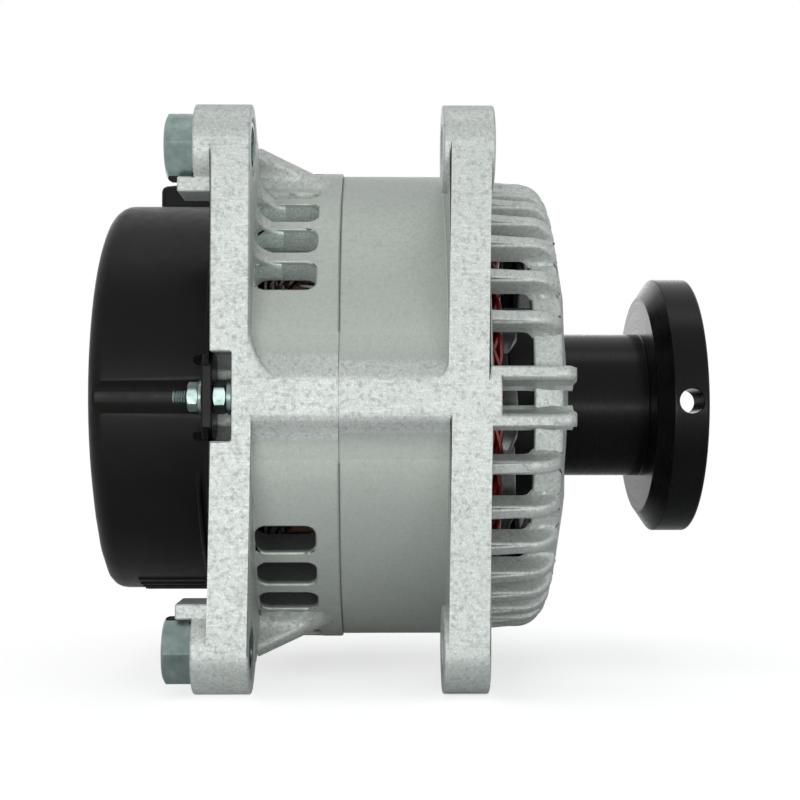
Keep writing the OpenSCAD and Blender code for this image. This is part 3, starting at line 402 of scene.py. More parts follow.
def fix_mesh(piece, shade_again=True):
    """Turns a piece with its modifiers into a plain mesh."""
    depsgraph = bpy.context.evaluated_depsgraph_get()
    mesh = bpy.data.meshes.new_from_object(piece.evaluated_get(depsgraph), depsgraph=depsgraph)
    piece.modifiers.clear()
    piece.data = mesh
    if shade_again:
        mesh.shade_smooth()
        mesh.set_sharp_from_angle(angle=SMOOTH_UNDER)
    return piece


def dress(piece, body, finish, *nodes):
    """Gives a piece its finish and its body, and hides the nodes it stands in for."""
    if not piece.data.materials:
        piece.data.materials.append(FINISHES[finish])
    for i in range(len(piece.data.materials)):
        piece.data.materials[i] = FINISHES[finish]
    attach(piece, body)
    if nodes:
        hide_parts(*nodes)
    return piece


def skin(bm, rings, closed=False):
    """Faces between rings of points; a ring of one point is a pole."""
    made = [[bm.verts.new(p) for p in ring] for ring in rings]
    pairs = list(zip(made, made[1:])) + ([(made[-1], made[0])] if closed else [])
    for low, high in pairs:
        count = max(len(low), len(high))
        for i in range(count):
            j = (i + 1) % count
            if len(low) == 1:
                bm.faces.new((low[0], high[j], high[i]))
            elif len(high) == 1:
                bm.faces.new((low[i], low[j], high[0]))
            else:
                bm.faces.new((low[i], low[j], high[j], high[i]))
    return made


def ring_points(x, radii, centre):
    """Points round an axis, evenly turned, each at its own radius."""
    turns = [math.tau * k / len(radii) for k in range(len(radii))]
    return [(x, centre[0] + r * math.cos(t), centre[1] + r * math.sin(t)) for r, t in zip(radii, turns)]


def circle_points(x, radius, centre=(0.0, 0.0), steps=64):
    return ring_points(x, [radius] * (steps if radius else 1), centre)


def lathe(bm, profile, centre=(0.0, 0.0), steps=64, closed=True):
    """A turned shape from (station, radius) points."""
    skin(bm, [circle_points(x, r, centre, steps) for x, r in profile], closed)
    bmesh.ops.recalc_face_normals(bm, faces=bm.faces)


HEX_STEPS = 72
HEX_CORNER_CUT = 0.985
CHAMFER_SLOPE = math.tan(math.radians(30))


def hexagon_points(x, across, centre, chamfer_from=0.0, slope=0.0):
    """Points round a hexagon with flats up and down; its corners fall back along a cone."""
    points = []
    for i in range(HEX_STEPS):
        turn = math.tau * i / HEX_STEPS
        off = (turn + math.pi / 6) % (math.pi / 3) - math.pi / 6
        radius = min(across / 2 / math.cos(off), across / math.sqrt(3) * HEX_CORNER_CUT)
        drop = max(0.0, radius - chamfer_from) * slope if slope else 0.0
        turn += math.pi / 6
        points.append((x + drop, centre[0] + radius * math.cos(turn), centre[1] + radius * math.sin(turn)))
    return points


def line_up(rings, hexagons):
    """Turns the circles to start where the hexagons do, a twelfth of a turn on."""
    lead = HEX_STEPS // 12
    return [ring if i in hexagons else ring[lead:] + ring[:lead] for i, ring in enumerate(rings)]


def hexagon_body(bm, back, front, across, centre, bore):
    """A hexagon with chamfered corners and a bore."""
    face_r = across / 2 * 0.94
    entry = 0.5
    rings = [
        circle_points(back + entry, bore, centre, HEX_STEPS),
        circle_points(back, bore + entry, centre, HEX_STEPS),
        circle_points(back, face_r, centre, HEX_STEPS),
        hexagon_points(back, across, centre, face_r, CHAMFER_SLOPE),
        hexagon_points(front, across, centre, face_r, -CHAMFER_SLOPE),
        circle_points(front, face_r, centre, HEX_STEPS),
        circle_points(front, bore + entry, centre, HEX_STEPS),
        circle_points(front - entry, bore, centre, HEX_STEPS),
    ]
    skin(bm, line_up(rings, (3, 4)), closed=True)
    bmesh.ops.recalc_face_normals(bm, faces=bm.faces)


ROWS_PER_PITCH = 6


def groove(x, pitch, share):
    """Depth in a thread's groove, from 0 to 1, at a station and a share of a turn."""
    return abs(2 * ((x / pitch + share) % 1.0) - 1)


def thread(bm, x0, x1, radius, pitch, centre, steps=28):
    """A threaded rod with tapered ends."""
    depth = pitch / 2
    count = max(2, round((x1 - x0) / pitch * ROWS_PER_PITCH))
    rings = [[(x0, *centre)]]
    for i in range(count + 1):
        x = x0 + (x1 - x0) * i / count
        taper = max(0.0, depth - min(x - x0, x1 - x))
        radii = [radius - max(depth * groove(x, pitch, k / steps), taper) for k in range(steps)]
        rings.append(ring_points(x, radii, centre))
    rings.append([(x1, *centre)])
    skin(bm, rings)
    bmesh.ops.recalc_face_normals(bm, faces=bm.faces)


# Patterns round the shaft


RING_SIZES = (("Count", "Int", 12), ("First Angle", "Float", 0.0), ("Step", "Float", 0.5))


def pattern_tree(name, shape, sizes):
    """A node tree whose inputs are a shape, its sizes as (name, kind, usual value), and a finish."""
    tree = bpy.data.node_groups.new(name, "GeometryNodeTree")
    face = tree.interface
    face.new_socket(shape, in_out="INPUT", socket_type="NodeSocketGeometry")
    for size, kind, usual in sizes:
        face.new_socket(size, in_out="INPUT", socket_type="NodeSocket" + kind).default_value = usual
    face.new_socket("Finish", in_out="INPUT", socket_type="NodeSocketMaterial")
    face.new_socket("Pattern", in_out="OUTPUT", socket_type="NodeSocketGeometry")
    return tree


def set_round_shaft(tree, given, shape):
    """Nodes that set copies of a shape round the shaft, make them real and give them the finish."""
    new, link = tree.nodes.new, tree.links.new
    line, index, steps, angle, turn = (new(kind) for kind in (
        "GeometryNodeMeshLine", "GeometryNodeInputIndex", "ShaderNodeMath", "ShaderNodeMath", "ShaderNodeCombineXYZ"))
    copies, real, painted, result = (new(kind) for kind in (
        "GeometryNodeInstanceOnPoints", "GeometryNodeRealizeInstances", "GeometryNodeSetMaterial", "NodeGroupOutput"))
    line.inputs["Offset"].default_value = (0, 0, 0)
    steps.operation, angle.operation = "MULTIPLY", "ADD"
    for source, target in (
            (given.outputs["Count"], line.inputs["Count"]),
            (index.outputs[0], steps.inputs[0]),
            (given.outputs["Step"], steps.inputs[1]),
            (steps.outputs[0], angle.inputs[0]),
            (given.outputs["First Angle"], angle.inputs[1]),
            (angle.outputs[0], turn.inputs[0]),
            (line.outputs[0], copies.inputs["Points"]),
            (shape, copies.inputs["Instance"]),
            (turn.outputs[0], copies.inputs["Rotation"]),
            (copies.outputs[0], real.inputs[0]),
            (real.outputs[0], painted.inputs["Geometry"]),
            (given.outputs["Finish"], painted.inputs["Material"]),
            (painted.outputs[0], result.inputs[0])):
        link(source, target)


def ring_nodes():
    """Geometry nodes that set copies of a shape round the shaft."""
    tree = pattern_tree("set_round_the_shaft", "Shape", RING_SIZES)
    given = tree.nodes.new("NodeGroupInput")
    set_round_shaft(tree, given, given.outputs["Shape"])
    return tree


def wire_nodes():
    """Geometry nodes that turn drawn paths into wires and set them round the shaft."""
    tree = pattern_tree("wind_round_the_shaft", "Paths", (*RING_SIZES, ("Wire Radius", "Float", 0.0007)))
    new, link = tree.nodes.new, tree.links.new
    given, curve, wire_section, tube = (new(kind) for kind in (
        "NodeGroupInput", "GeometryNodeMeshToCurve", "GeometryNodeCurvePrimitiveCircle", "GeometryNodeCurveToMesh"))
    wire_section.inputs["Resolution"].default_value = 7
    tube.inputs["Fill Caps"].default_value = True
    link(given.outputs["Paths"], curve.inputs[0])
    link(given.outputs["Wire Radius"], wire_section.inputs["Radius"])
    link(curve.outputs[0], tube.inputs["Curve"])
    link(wire_section.outputs[0], tube.inputs["Profile Curve"])
    set_round_shaft(tree, given, tube.outputs[0])
    return tree


RING_TREE = ring_nodes()
WIRE_TREE = wire_nodes()


def grow(piece, tree, finish, body="housing", nodes=(), **inputs):
    """Runs a node tree on a piece with these inputs, keeps the result as a plain mesh and dresses it."""
    modifier = piece.modifiers.new("pattern", "NODES")
    modifier.node_group = tree
    inputs["Finish"] = FINISHES[finish]
    for item in tree.interface.items_tree:
        if item.item_type == "SOCKET" and item.in_out == "INPUT" and item.name.replace(" ", "_") in inputs:
            modifier[item.identifier] = inputs[item.name.replace(" ", "_")]
    return dress(fix_mesh(piece), body, finish, *nodes)


def around_bolts(name, bm, finish, *nodes, first=FRONT_BOLT_TURN):
    """Sets a shape that is drawn at the top of the drum at every through bolt, or as far from each."""
    grow(place(name, bm), RING_TREE, finish, nodes=nodes, Count=BOLT_COUNT, First_Angle=math.radians(first),
         Step=math.radians(BOLT_STEP))


# Castings

MERGE_GAP = 2e-6
FLAT_WITHIN = math.radians(0.4)
ROUNDED_OVER = math.radians(30)


def rounded_form(node, name, width, reshape=None, left_sharp=None):
    """A node's form with its loose faces merged, flat faces joined and its edges rounded, kept in its own box."""
    bm = bmesh.new()
    bm.from_mesh(frame["nodes"][node].data)
    bmesh.ops.remove_doubles(bm, verts=bm.verts, dist=MERGE_GAP)
    bmesh.ops.dissolve_limit(bm, angle_limit=FLAT_WITHIN, verts=bm.verts, edges=bm.edges)
    for vert in bm.verts:
        vert.co /= MM
    rounded = bm.edges.layers.float.new("bevel_weight_edge")
    for edge in bm.edges:
        if edge.calc_face_angle(0.0) > ROUNDED_OVER:
            middle = (edge.verts[0].co + edge.verts[1].co) / 2
            edge[rounded] = 0.0 if left_sharp and left_sharp(middle) else 1.0
    if reshape:
        for vert in bm.verts:
            reshape(vert.co)
    piece = place(name, bm)
    rounding = piece.modifiers.new("rounded edges", "BEVEL")
    rounding.width = width * MM
    rounding.segments = 2
    rounding.limit_method = "WEIGHT"
    rounding.use_clamp_overlap = False
    rounding.miter_outer = "MITER_ARC"
    shading = piece.modifiers.new("flat faces stay flat", "WEIGHTED_NORMAL")
    shading.keep_sharp = True
    fix_mesh(piece, shade_again=False)
    places = [vert.co for vert in frame["nodes"][node].data.vertices]
    low, high = (Vector(pick(spot[axis] for spot in places) for axis in range(3)) for pick in (min, max))
    for vert in piece.data.vertices:
        vert.co = [max(low[axis], min(high[axis], vert.co[axis])) for axis in range(3)]
    return piece


def spin(bm, degrees):
    """Turns a shape that stands along +Z about the shaft."""
    bmesh.ops.rotate(bm, verts=bm.verts, matrix=Matrix.Rotation(math.radians(degrees), 3, "X"))


def reach_inside(point, line):
    """Distance from a point to a line of points."""
    gaps = []
    for a, b in zip(line, line[1:]):
        run = b - a
        share = max(0.0, min(1.0, (point - a).dot(run) / run.length_squared))
        gaps.append((point - a - run * share).length)
    return min(gaps)


# How far down a rib its rows of points lie: they are closer at the round edge and at the foot.
RIB_ROWS = (0, 0.012, 0.04, 0.085, 0.15, 0.25, 0.42, 0.6, 0.74, 0.85, 0.93, 1)
RIB_TAPER = 0.035


def rib(bm, top, low, thick, edge, foot, ground, lift=0.0):
    """A cast rib standing along +Z, from its top line of (station, radius) points.

    Its edge is round, it thickens downwards, and a fillet joins it to the ground. Over the windows its lower
    edge may be lifted."""
    line = [Vector(p) for p in top]
    start, end = line[0].x, line[-1].x
    grid = []
    for i, crest in enumerate(line):
        base = Vector((start + (end - start) * i / (len(line) - 1), low))
        base.y += lift * max(0.0, min(1.0, (VENT_FRONT_X - base.x) / 2))
        column = []
        for share in RIB_ROWS:
            spot = crest.lerp(base, share)
            inside = reach_inside(spot, line)
            reached = min(1.0, inside / edge)
            half = thick / 2 * math.sqrt(max(0.0, 1 - (1 - reached) ** 2)) + RIB_TAPER * inside
            short = foot - min(foot, max(0.0, spot.y - ground))
            flare = (foot - math.sqrt(foot * foot - short * short)) * reached
            column.append((spot.x, half + flare, spot.y))
        grid.append(column)
    sides = [[[bm.verts.new((x, side * t, r)) for x, t, r in column] for column in grid] for side in (1, -1)]
    for side in sides:
        for a, b in zip(side, side[1:]):
            for k in range(len(RIB_ROWS) - 1):
                bm.faces.new((a[k], a[k + 1], b[k + 1], b[k]))
    left, right = sides
    for i in range(len(line) - 1):
        bm.faces.new((left[i][-1], right[i][-1], right[i + 1][-1], left[i + 1][-1]))
    for i in (0, -1):
        for k in range(len(RIB_ROWS) - 1):
            bm.faces.new((left[i][k], left[i][k + 1], right[i][k + 1], right[i][k]))
    bmesh.ops.remove_doubles(bm, verts=bm.verts, dist=1e-4)
    bmesh.ops.recalc_face_normals(bm, faces=bm.faces)


def fin_line(reach, end_x, soft, steps=9):
    """The top line of a fin: along the drum, round its front corner and down."""
    start = ARM_FRONT_X - 0.6
    flat_end = end_x - soft
    straight = [(start + (flat_end - start) * i / steps, reach) for i in range(steps)]
    turns = [math.radians(90 * i / steps) for i in range(steps + 1)]
    corner = [(flat_end + soft * math.sin(t), reach - soft + soft * math.cos(t)) for t in turns]
    return straight + corner


# Degrees from a through bolt: the frame's even fins, and where the photograph shows them.
FIN_TURNS = ((15, 18.7), (25, 29.5), (35, 40.1), (45, 48.3), (55, 56.5), (65, 65), (75, 73.3), (85, 82.9), (95, 93),
             (105, 104))
# Degrees on each side of a bolt, and of a fin's middle, that keep their shape.
BOSS_REACH = 7.5
FIN_REACH = 1.9
# The drive end's face keeps its shape inside the first radius, and is fully turned this much further out.
PLAIN_FACE_R = 38
FACE_FADE = 8
# How far the windows' outer edge is raised, and over what length.
WINDOW_LIFT = 1.8
LIFT_LENGTH = 4
# How far the rounded fins stand over the frame's, and their degrees from a bolt beside it.
FIN_SKIN = 0.3
BOSS_FIN_TURN = 5


def seen_turn(turn):
    """The frame's angle from a bolt, as the photograph spaces the fins; each fin keeps its thickness."""
    marks = [(0, 0), (BOSS_REACH, BOSS_REACH)]
    for even, seen in FIN_TURNS:
        marks += [(even - FIN_REACH, seen - FIN_REACH), (even + FIN_REACH, seen + FIN_REACH)]
    marks += [(BOLT_STEP - BOSS_REACH, BOLT_STEP - BOSS_REACH), (BOLT_STEP, BOLT_STEP)]
    for (a, p), (b, q) in zip(marks, marks[1:]):
        if turn <= b:
            return p + (q - p) * (turn - a) / (b - a)
    return turn


def space_fins(spot):
    """Moves the fins and windows of the drive end to their places in the photograph."""
    radius = math.hypot(spot.y, spot.z)
    share = max(0.0, min(1.0, (radius - PLAIN_FACE_R) / FACE_FADE))
    if spot.x < ARM_FRONT_X - 0.05 or not share or radius > BOSS_TOP_R - 0.6:
        return
    if spot.x < VENT_FRONT_X + 0.05 and SHELF_R - 1.5 < radius < SHELF_R - 0.4:
        raised = (SHELF_R + WINDOW_LIFT * min(1.0, (VENT_FRONT_X - spot.x) / LIFT_LENGTH) - 0.08) / radius
        spot.y *= raised
        spot.z *= raised
    turn = math.degrees(math.atan2(spot.z, -spot.y)) % BOLT_STEP
    move = math.radians((seen_turn(turn) - turn) * share)
    across, up = math.cos(move), math.sin(move)
    spot.y, spot.z = spot.y * across + spot.z * up, spot.z * across - spot.y * up


def fins():
    """Ribs round the drive end, and the taller pair beside each through bolt."""
    bm = bmesh.new()
    for _even, seen in FIN_TURNS:
        part = bmesh.new()
        rib(part, fin_line(FIN_TOP_R + FIN_SKIN, FIN_END_X + FIN_SKIN, soft=8.2), low=SHELF_R - 1, thick=3.9,
            edge=0.95, foot=1.1, ground=SHELF_R, lift=WINDOW_LIFT)
        spin(part, -seen)
        join(bm, part)
    around_bolts("cooling_fins", bm, "cast_aluminium")
    bm = bmesh.new()
    for turn in (-BOSS_FIN_TURN, BOSS_FIN_TURN):
        part = bmesh.new()
        rib(part, fin_line(BOSS_FIN_TOP_R + FIN_SKIN, BOSS_FIN_END_X + FIN_SKIN, soft=3.4), low=SHELF_R - 2,
            thick=3.7, edge=1.2, foot=1.1, ground=SHELF_R, lift=WINDOW_LIFT)
        spin(part, turn)
        join(bm, part)
    around_bolts("boss_fins", bm, "cast_aluminium")


def join(bm, part):
    """Adds a part's shape to another."""
    spots = {vert: bm.verts.new(vert.co) for vert in part.verts}
    for face in part.faces:
        bm.faces.new([spots[vert] for vert in face.verts])
    part.free()


def slot_webs():
    """Webs between the rear slots: each climbs the back of the plate towards the lugs."""
    steps = 8
    wide, high, sunk = 7.5, 9.0, 0.5
    first, apart = 37.5, 10
    foot_x = PLATE_FRONT_X + wide
    curve = [math.radians(90 * i / steps) for i in range(steps + 1)]
    line = [(foot_x - wide * math.sin(t), REAR_R - sunk + high * (1 - math.cos(t))) for t in curve]
    line = [(PLATE_FRONT_X - LAP, line[-1][1])] + line[::-1]
    bm = bmesh.new()
    rib(bm, line, low=REAR_R - 6, thick=4.7, edge=1.3, foot=0.01, ground=REAR_R)
    grow(place("upper_slot_webs", bm), RING_TREE, "cast_aluminium", Count=3, First_Angle=math.radians(first),
         Step=math.radians(apart))


def drum_patch(half, x0, x1):
    """A piece of plain drum wall that stands along +Z."""
    bm = bmesh.new()
    across, along = 16, 12
    proud, deep = 0.03, 5
    outer, inner = [], []
    for i in range(along + 1):
        rows = ([], [])
        for k in range(across + 1):
            turn = math.radians(half * (2 * k / across - 1))
            for row, r in zip(rows, (REAR_R + proud, REAR_R - deep)):
                row.append(bm.verts.new((x0 + (x1 - x0) * i / along, r * math.sin(turn), r * math.cos(turn))))
        outer.append(rows[0])
        inner.append(rows[1])
    for sheet in (outer, inner):
        for a, b in zip(sheet, sheet[1:]):
            for k in range(across):
                bm.faces.new((a[k], a[k + 1], b[k + 1], b[k]))
    for i in (0, -1):
        for k in range(across):
            bm.faces.new((outer[i][k], outer[i][k + 1], inner[i][k + 1], inner[i][k]))
    for i in range(along):
        for k in (0, -1):
            bm.faces.new((outer[i][k], outer[i + 1][k], inner[i + 1][k], inner[i][k]))
    bmesh.ops.recalc_face_normals(bm, faces=bm.faces)
    return bm


def plain_walls():
    """Plain drum wall below each bolt ridge, where the photograph has no slot, and round the gussets' feet."""
    plate_x = PLATE_FRONT_X - 0.4
    around_bolts("plain_walls", drum_patch(4.5, plate_x, SLOT_END_X), "cast_aluminium", first=112.5)
    for name, turn, half, x0 in (("gusset_grounds", 25.0, 3.0, plate_x),
                                 ("gusset_feet", 28.0, 7.0, SLOT_END_X - 0.6)):
        grow(place(name, drum_patch(half, x0, SEAM_X - SEAM_GAP)), RING_TREE, "cast_aluminium", Count=2,
             First_Angle=math.radians(turn), Step=math.radians(180 - 2 * turn))


# The gussets' degrees from the top, their height at the plate and their length.
GUSSET_TURNS = (28, 152)
GUSSET_RISE = 10.6
GUSSET_LENGTH = 21
# Degrees on each side of a gusset that are sunk with the frame's own, and that keep sharp edges.
SUNK_WITHIN = 4.4
SHARP_WITHIN = 5


def on_gusset(spot, within):
    turn = math.degrees(math.atan2(-spot.y, spot.z)) % 360
    return spot.x > PLATE_FRONT_X - 0.2 and any(abs(turn - t) < within for t in GUSSET_TURNS)


def under_gusset(spot):
    radius = math.hypot(spot.y, spot.z)
    return on_gusset(spot, SHARP_WITHIN) and spot.x > PLATE_FRONT_X + 0.2 and radius > REAR_R - 0.5


def sink_gusset(spot):
    """Lowers the frame's straight gussets into the drum, where the cast ones stand over them."""
    radius = math.hypot(spot.y, spot.z)
    if radius > REAR_R + 0.2 and on_gusset(spot, SUNK_WITHIN):
        spot.y *= (REAR_R - 0.12) / radius
        spot.z *= (REAR_R - 0.12) / radius


def gussets():
    """The braces from the rear lugs down to the seam, dished on their sides."""
    shares = [i / 8 for i in range(9)]
    fall = [(PLATE_FRONT_X + GUSSET_LENGTH * share, REAR_R + GUSSET_RISE * (1 - share)) for share in shares]
    line = [(PLATE_FRONT_X - LAP, fall[0][1]), *fall, (fall[-1][0] + 1.6, REAR_R - 0.8)]
    bm = bmesh.new()
    for turn in GUSSET_TURNS:
        part = bmesh.new()
        rib(part, line, low=REAR_R - 3, thick=5.6, edge=1.6, foot=3.4, ground=REAR_R)
        spin(part, turn)
        join(bm, part)
    dress(place("lug_gussets", bm), "housing", "cast_aluminium")


# Half the ridge over a through bolt: distance from its middle, and share of its height.
RIDGE_SHAPE = ((0, 1), (3, 1), (5, 1), (6, 0.96), (7, 0.82), (8, 0.6), (9.2, 0.39), (10.6, 0.22), (12.2, 0.1),
               (14, 0.035), (16, 0.005), (17.5, -0.02))


def bolt_ridge(bm, x0, x1, drum_r):
    """The rounded ridge over a through bolt, blended into the drum on both sides."""
    rise = BOSS_TOP_R + 0.02 - drum_r
    half = [(t, math.sqrt(drum_r ** 2 - t ** 2) + rise * share) for t, share in RIDGE_SHAPE]
    outline = [(-t, h) for t, h in half[:0:-1]] + half
    outline += [(12, drum_r - 4), (-12, drum_r - 4)]
    for ring in skin(bm, [[(x, t, h) for t, h in outline] for x in (x0, x1)]):
        bm.faces.new(ring)
    bmesh.ops.recalc_face_normals(bm, faces=bm.faces)


def bolt_ridges():
    for name, x0, x1, drum_r in (("rear_bolt_ridges", PLATE_FRONT_X - LAP, SEAM_X - SEAM_GAP, REAR_R),
                                 ("drive_bolt_ridges", SEAM_X + SEAM_GAP, ARM_BACK_X + LAP, DRIVE_R)):
        bm = bmesh.new()
        bolt_ridge(bm, x0, x1, drum_r)
        around_bolts(name, bm, "cast_aluminium")


def fill_cover_foot(spot):
    """The cover's lower corner is fuller than its upper one."""
    start_z, fullness, depth = -24, 0.0021, 14
    below = max(0.0, start_z - spot.z)
    if spot.x < COVER_END_X + depth:
        spot.x = max(COVER_END_X, spot.x - fullness * below * below)


def slope_connector(spot):
    """The connector's top falls towards its rear edge."""
    rear_x, top_z, drop = -160, 70, 2.2
    if spot.x < rear_x and spot.z > top_z:
        spot.z -= drop


# Each plate's station, with the length and height of its webs above (1) and below (-1) the front ridge.
CORNER_WEBS = ((PLATE_FRONT_X, {1: (11, 15), -1: (2.4, 3.5)}), (ARM_BACK_X, {1: (-5, 9), -1: (-2, 3)}))
RIDGE_HALF = 4.5


def corner_webs():
    """The curved webs that widen the plates where the front ridge meets them."""
    bm = bmesh.new()
    steps = 8
    curve = [math.radians(90 * i / steps) for i in range(steps + 1)]
    for x0, sizes_by_side in CORNER_WEBS:
        for side, (wide, high) in sizes_by_side.items():
            arc = [(x0 + wide - wide * math.cos(t), RIDGE_HALF + high - high * math.sin(t)) for t in curve]
            back_x = x0 - math.copysign(0.6, wide)
            foot_z = RIDGE_HALF - 1
            outline = [(back_x, RIDGE_HALF + high), *arc, (x0 + wide, foot_z), (back_x, foot_z)]
            rings = [[(x, y, side * z) for x, z in outline] for y in (-BOSS_TOP_R + 0.01, LUG_Y - 2)]
            part = bmesh.new()
            for ring in skin(part, rings):
                part.faces.new(ring)
            bmesh.ops.recalc_face_normals(part, faces=part.faces)
            in_front = [edge for edge in part.edges if all(v.co.y < -BOSS_TOP_R + 0.1 for v in edge.verts)]
            crest = [edge for edge in in_front if any(
                abs(v.co.x - back_x) > 0.1 and abs(v.co.z) > RIDGE_HALF - 0.5 for v in edge.verts)]
            bmesh.ops.bevel(part, geom=crest, offset=1.1, segments=3, profile=0.5, affect="EDGES")
            join(bm, part)
    dress(place("ridge_webs", bm), "housing", "cast_aluminium")


def dress_form(node, name, width, finish, body="housing", **ways):
    """A node shown in its own form, with its edges rounded."""
    dress(rounded_form(node, name, width, **ways), body, finish, node)


dress_form("rear_bracket", "rear_casting", 0.5, "cast_aluminium", reshape=sink_gusset, left_sharp=under_gusset)
dress_form("drive_bracket", "drive_casting", 0.5, "cast_aluminium", reshape=space_fins)
dress_form("rear_cover", "moulded_cover", 0.4, "cover_plastic", reshape=fill_cover_foot)
dress_form("connector_socket", "connector_block", 1.6, "cover_plastic", reshape=slope_connector)
dress_form("drive_hub", "turned_hub", 0.3, "hub_black", "rotor")
fins()
slot_webs()
plain_walls()
gussets()
bolt_ridges()
corner_webs()


def cover_strips():
    """Fine strips along the foot of the moulded cover."""
    bm = bmesh.new()
    line = [(COVER_END_X + 9 + 3.2 * i, COVER_R + 0.55) for i in range(8)]
    for turn in (157.5, 162, 166.5, 171, 175.5):
        part = bmesh.new()
        rib(part, line, low=COVER_R - 1, thick=1.5, edge=0.5, foot=0.4, ground=COVER_R)
        spin(part, turn)
        for vert in part.verts:
            vert.co.z += COVER_Z
        join(bm, part)
    return bm


def cover_bead():
    """The bead at the cover's rim, which sinks into the wall at both ends."""
    bm = bmesh.new()
    bead_x, across, high = -145.2, 0.9, 0.75
    steps, start, reach = 90, 112, 136
    shape = [(bead_x + across * math.cos(math.pi * k / 8), high * math.sin(math.pi * k / 8)) for k in range(9)]
    shape += [(bead_x - across, -1), (bead_x + across, -1)]
    rings = []
    for k in range(steps + 1):
        turn = math.radians(start + reach * k / steps)
        sink = min(1.0, k / 4, (steps - k) / 4)
        rings.append([(x, -(COVER_R + rise * sink) * math.sin(turn),
                       COVER_Z + (COVER_R + rise * sink) * math.cos(turn)) for x, rise in shape])
    made = skin(bm, rings)
    for end in (made[0], made[-1]):
        bm.faces.new(end)
    bmesh.ops.recalc_face_normals(bm, faces=bm.faces)
    return bm


cover_lines = cover_strips()
join(cover_lines, cover_bead())
dress(place("cover_strips", cover_lines), "housing", "cover_plastic")


# Fasteners


def mount_bush(name, node, body, z):
    """A threaded bush: chamfered hexagon, washer face, sleeve and the thread in its bore."""
    bm = bmesh.new()
    centre = (LUG_Y, z)
    face_r = BUSH_ACROSS / 2 * 0.95
    entry, collar_t = 0.9, 0.15
    rings = [
        circle_points(BUSH_HEAD_BACK_X, BUSH_BORE_R + entry, centre, HEX_STEPS),
        circle_points(BUSH_HEAD_BACK_X, face_r, centre, HEX_STEPS),
        hexagon_points(BUSH_HEAD_BACK_X, BUSH_ACROSS, centre, face_r, CHAMFER_SLOPE),
        hexagon_points(BUSH_HEAD_FRONT_X - collar_t, BUSH_ACROSS, centre),
        circle_points(BUSH_HEAD_FRONT_X - collar_t, face_r, centre, HEX_STEPS),
        circle_points(BUSH_HEAD_FRONT_X, face_r, centre, HEX_STEPS),
        circle_points(BUSH_HEAD_FRONT_X, BUSH_R, centre, HEX_STEPS),
        circle_points(BUSH_SLEEVE_END_X - entry, BUSH_R, centre, HEX_STEPS),
        circle_points(BUSH_SLEEVE_END_X, BUSH_R - entry, centre, HEX_STEPS),
        circle_points(BUSH_SLEEVE_END_X, BUSH_BORE_R + entry, centre, HEX_STEPS),
    ]
    pitch, depth = 1.75, 0.85
    length = BUSH_SLEEVE_END_X - BUSH_HEAD_BACK_X
    count = round(length / pitch * ROWS_PER_PITCH)
    for i in range(1, count):
        x = BUSH_SLEEVE_END_X - length * i / count
        radii = [BUSH_BORE_R + depth * groove(x, pitch, k / HEX_STEPS) for k in range(HEX_STEPS)]
        rings.append(ring_points(x, radii, centre))
    skin(bm, line_up(rings, (2, 3)), closed=True)
    bmesh.ops.recalc_face_normals(bm, faces=bm.faces)
    dress(place(name, bm), body, "zinc_plate", node)


def washer(x0, x1, radius, in_r, centre):
    """A washer with soft outer edges."""
    bm = bmesh.new()
    soft = 0.25
    lathe(bm, [(x0, in_r), (x0, radius - soft), (x0 + soft, radius), (x1 - soft, radius), (x1, radius - soft),
               (x1, in_r)], centre, 48)
    return bm


def nut(x0, x1, across, bore, centre):
    """A hexagon nut."""
    bm = bmesh.new()
    hexagon_body(bm, x0, x1, across, centre, bore)
    return bm


def through_bolts():
    """Bolts with a hexagon collar and a threaded stud, their washers, and the nuts that hold the cover."""
    centre = (0.0, BOLT_RING_R)
    collar_back_x, collar_front_x, washer_front_x = -139.3, -135.8, -134.2
    shank_r, shank_end_x, chamfer = 2.5, -67.8, 0.6
    stud_r, stud_pitch, stud_end_x = 2.0, 0.7, -150.1
    nut_back_x, nut_front_x, ear_washer_front_x = -146.2, -143.2, -142.1
    bm = nut(collar_back_x, collar_front_x, 8.0, 1.8, centre)
    shank = [(collar_front_x - 0.4, 0.0), (collar_front_x - 0.4, shank_r), (shank_end_x - chamfer, shank_r),
             (shank_end_x, shank_r - chamfer), (shank_end_x, 0.0)]
    lathe(bm, shank, centre, 24, closed=False)
    part = bmesh.new()
    thread(part, stud_end_x, collar_back_x + 0.7, stud_r, stud_pitch, centre)
    join(bm, part)
    around_bolts("bolts_with_collars", bm, "zinc_plate", "through_bolts")
    around_bolts("collar_washers", washer(collar_front_x, washer_front_x, 4.8, shank_r + 0.05, centre), "zinc_plate",
                 "bolt_washers")
    around_bolts("ear_washers", washer(nut_front_x, ear_washer_front_x, 4.6, stud_r + 0.05, centre), "zinc_plate",
                 "cover_nut_washers")
    around_bolts("ear_nuts", nut(nut_back_x, nut_front_x, 7.0, stud_r + 0.02, centre), "zinc_plate", "cover_nuts")


def output_terminal():
    """The output stud with its round head, and its nut."""
    centre = (37.0, -4.0)
    head_back_x, head_front_x, head_r = -151.1, -147.1, 6.4
    stud_r, stud_end_x = 4.0, -174.5
    nut_back_x, nut_front_x = -165.1, -160.1
    bm = bmesh.new()
    lathe(bm, [(head_back_x, 0.0), (head_back_x, head_r), (head_front_x, head_r), (head_front_x, 0.0)], centre, 32,
          closed=False)
    part = bmesh.new()
    thread(part, stud_end_x, head_back_x + 0.2, stud_r, 1.25, centre)
    join(bm, part)
    dress(place("output_stud", bm), "housing", "terminal_brass", "b_plus_stud")
    dress(place("output_nut", nut(nut_back_x, nut_front_x, 13.0, stud_r + 0.02, centre)), "housing",
          "terminal_brass", "b_plus_nut")


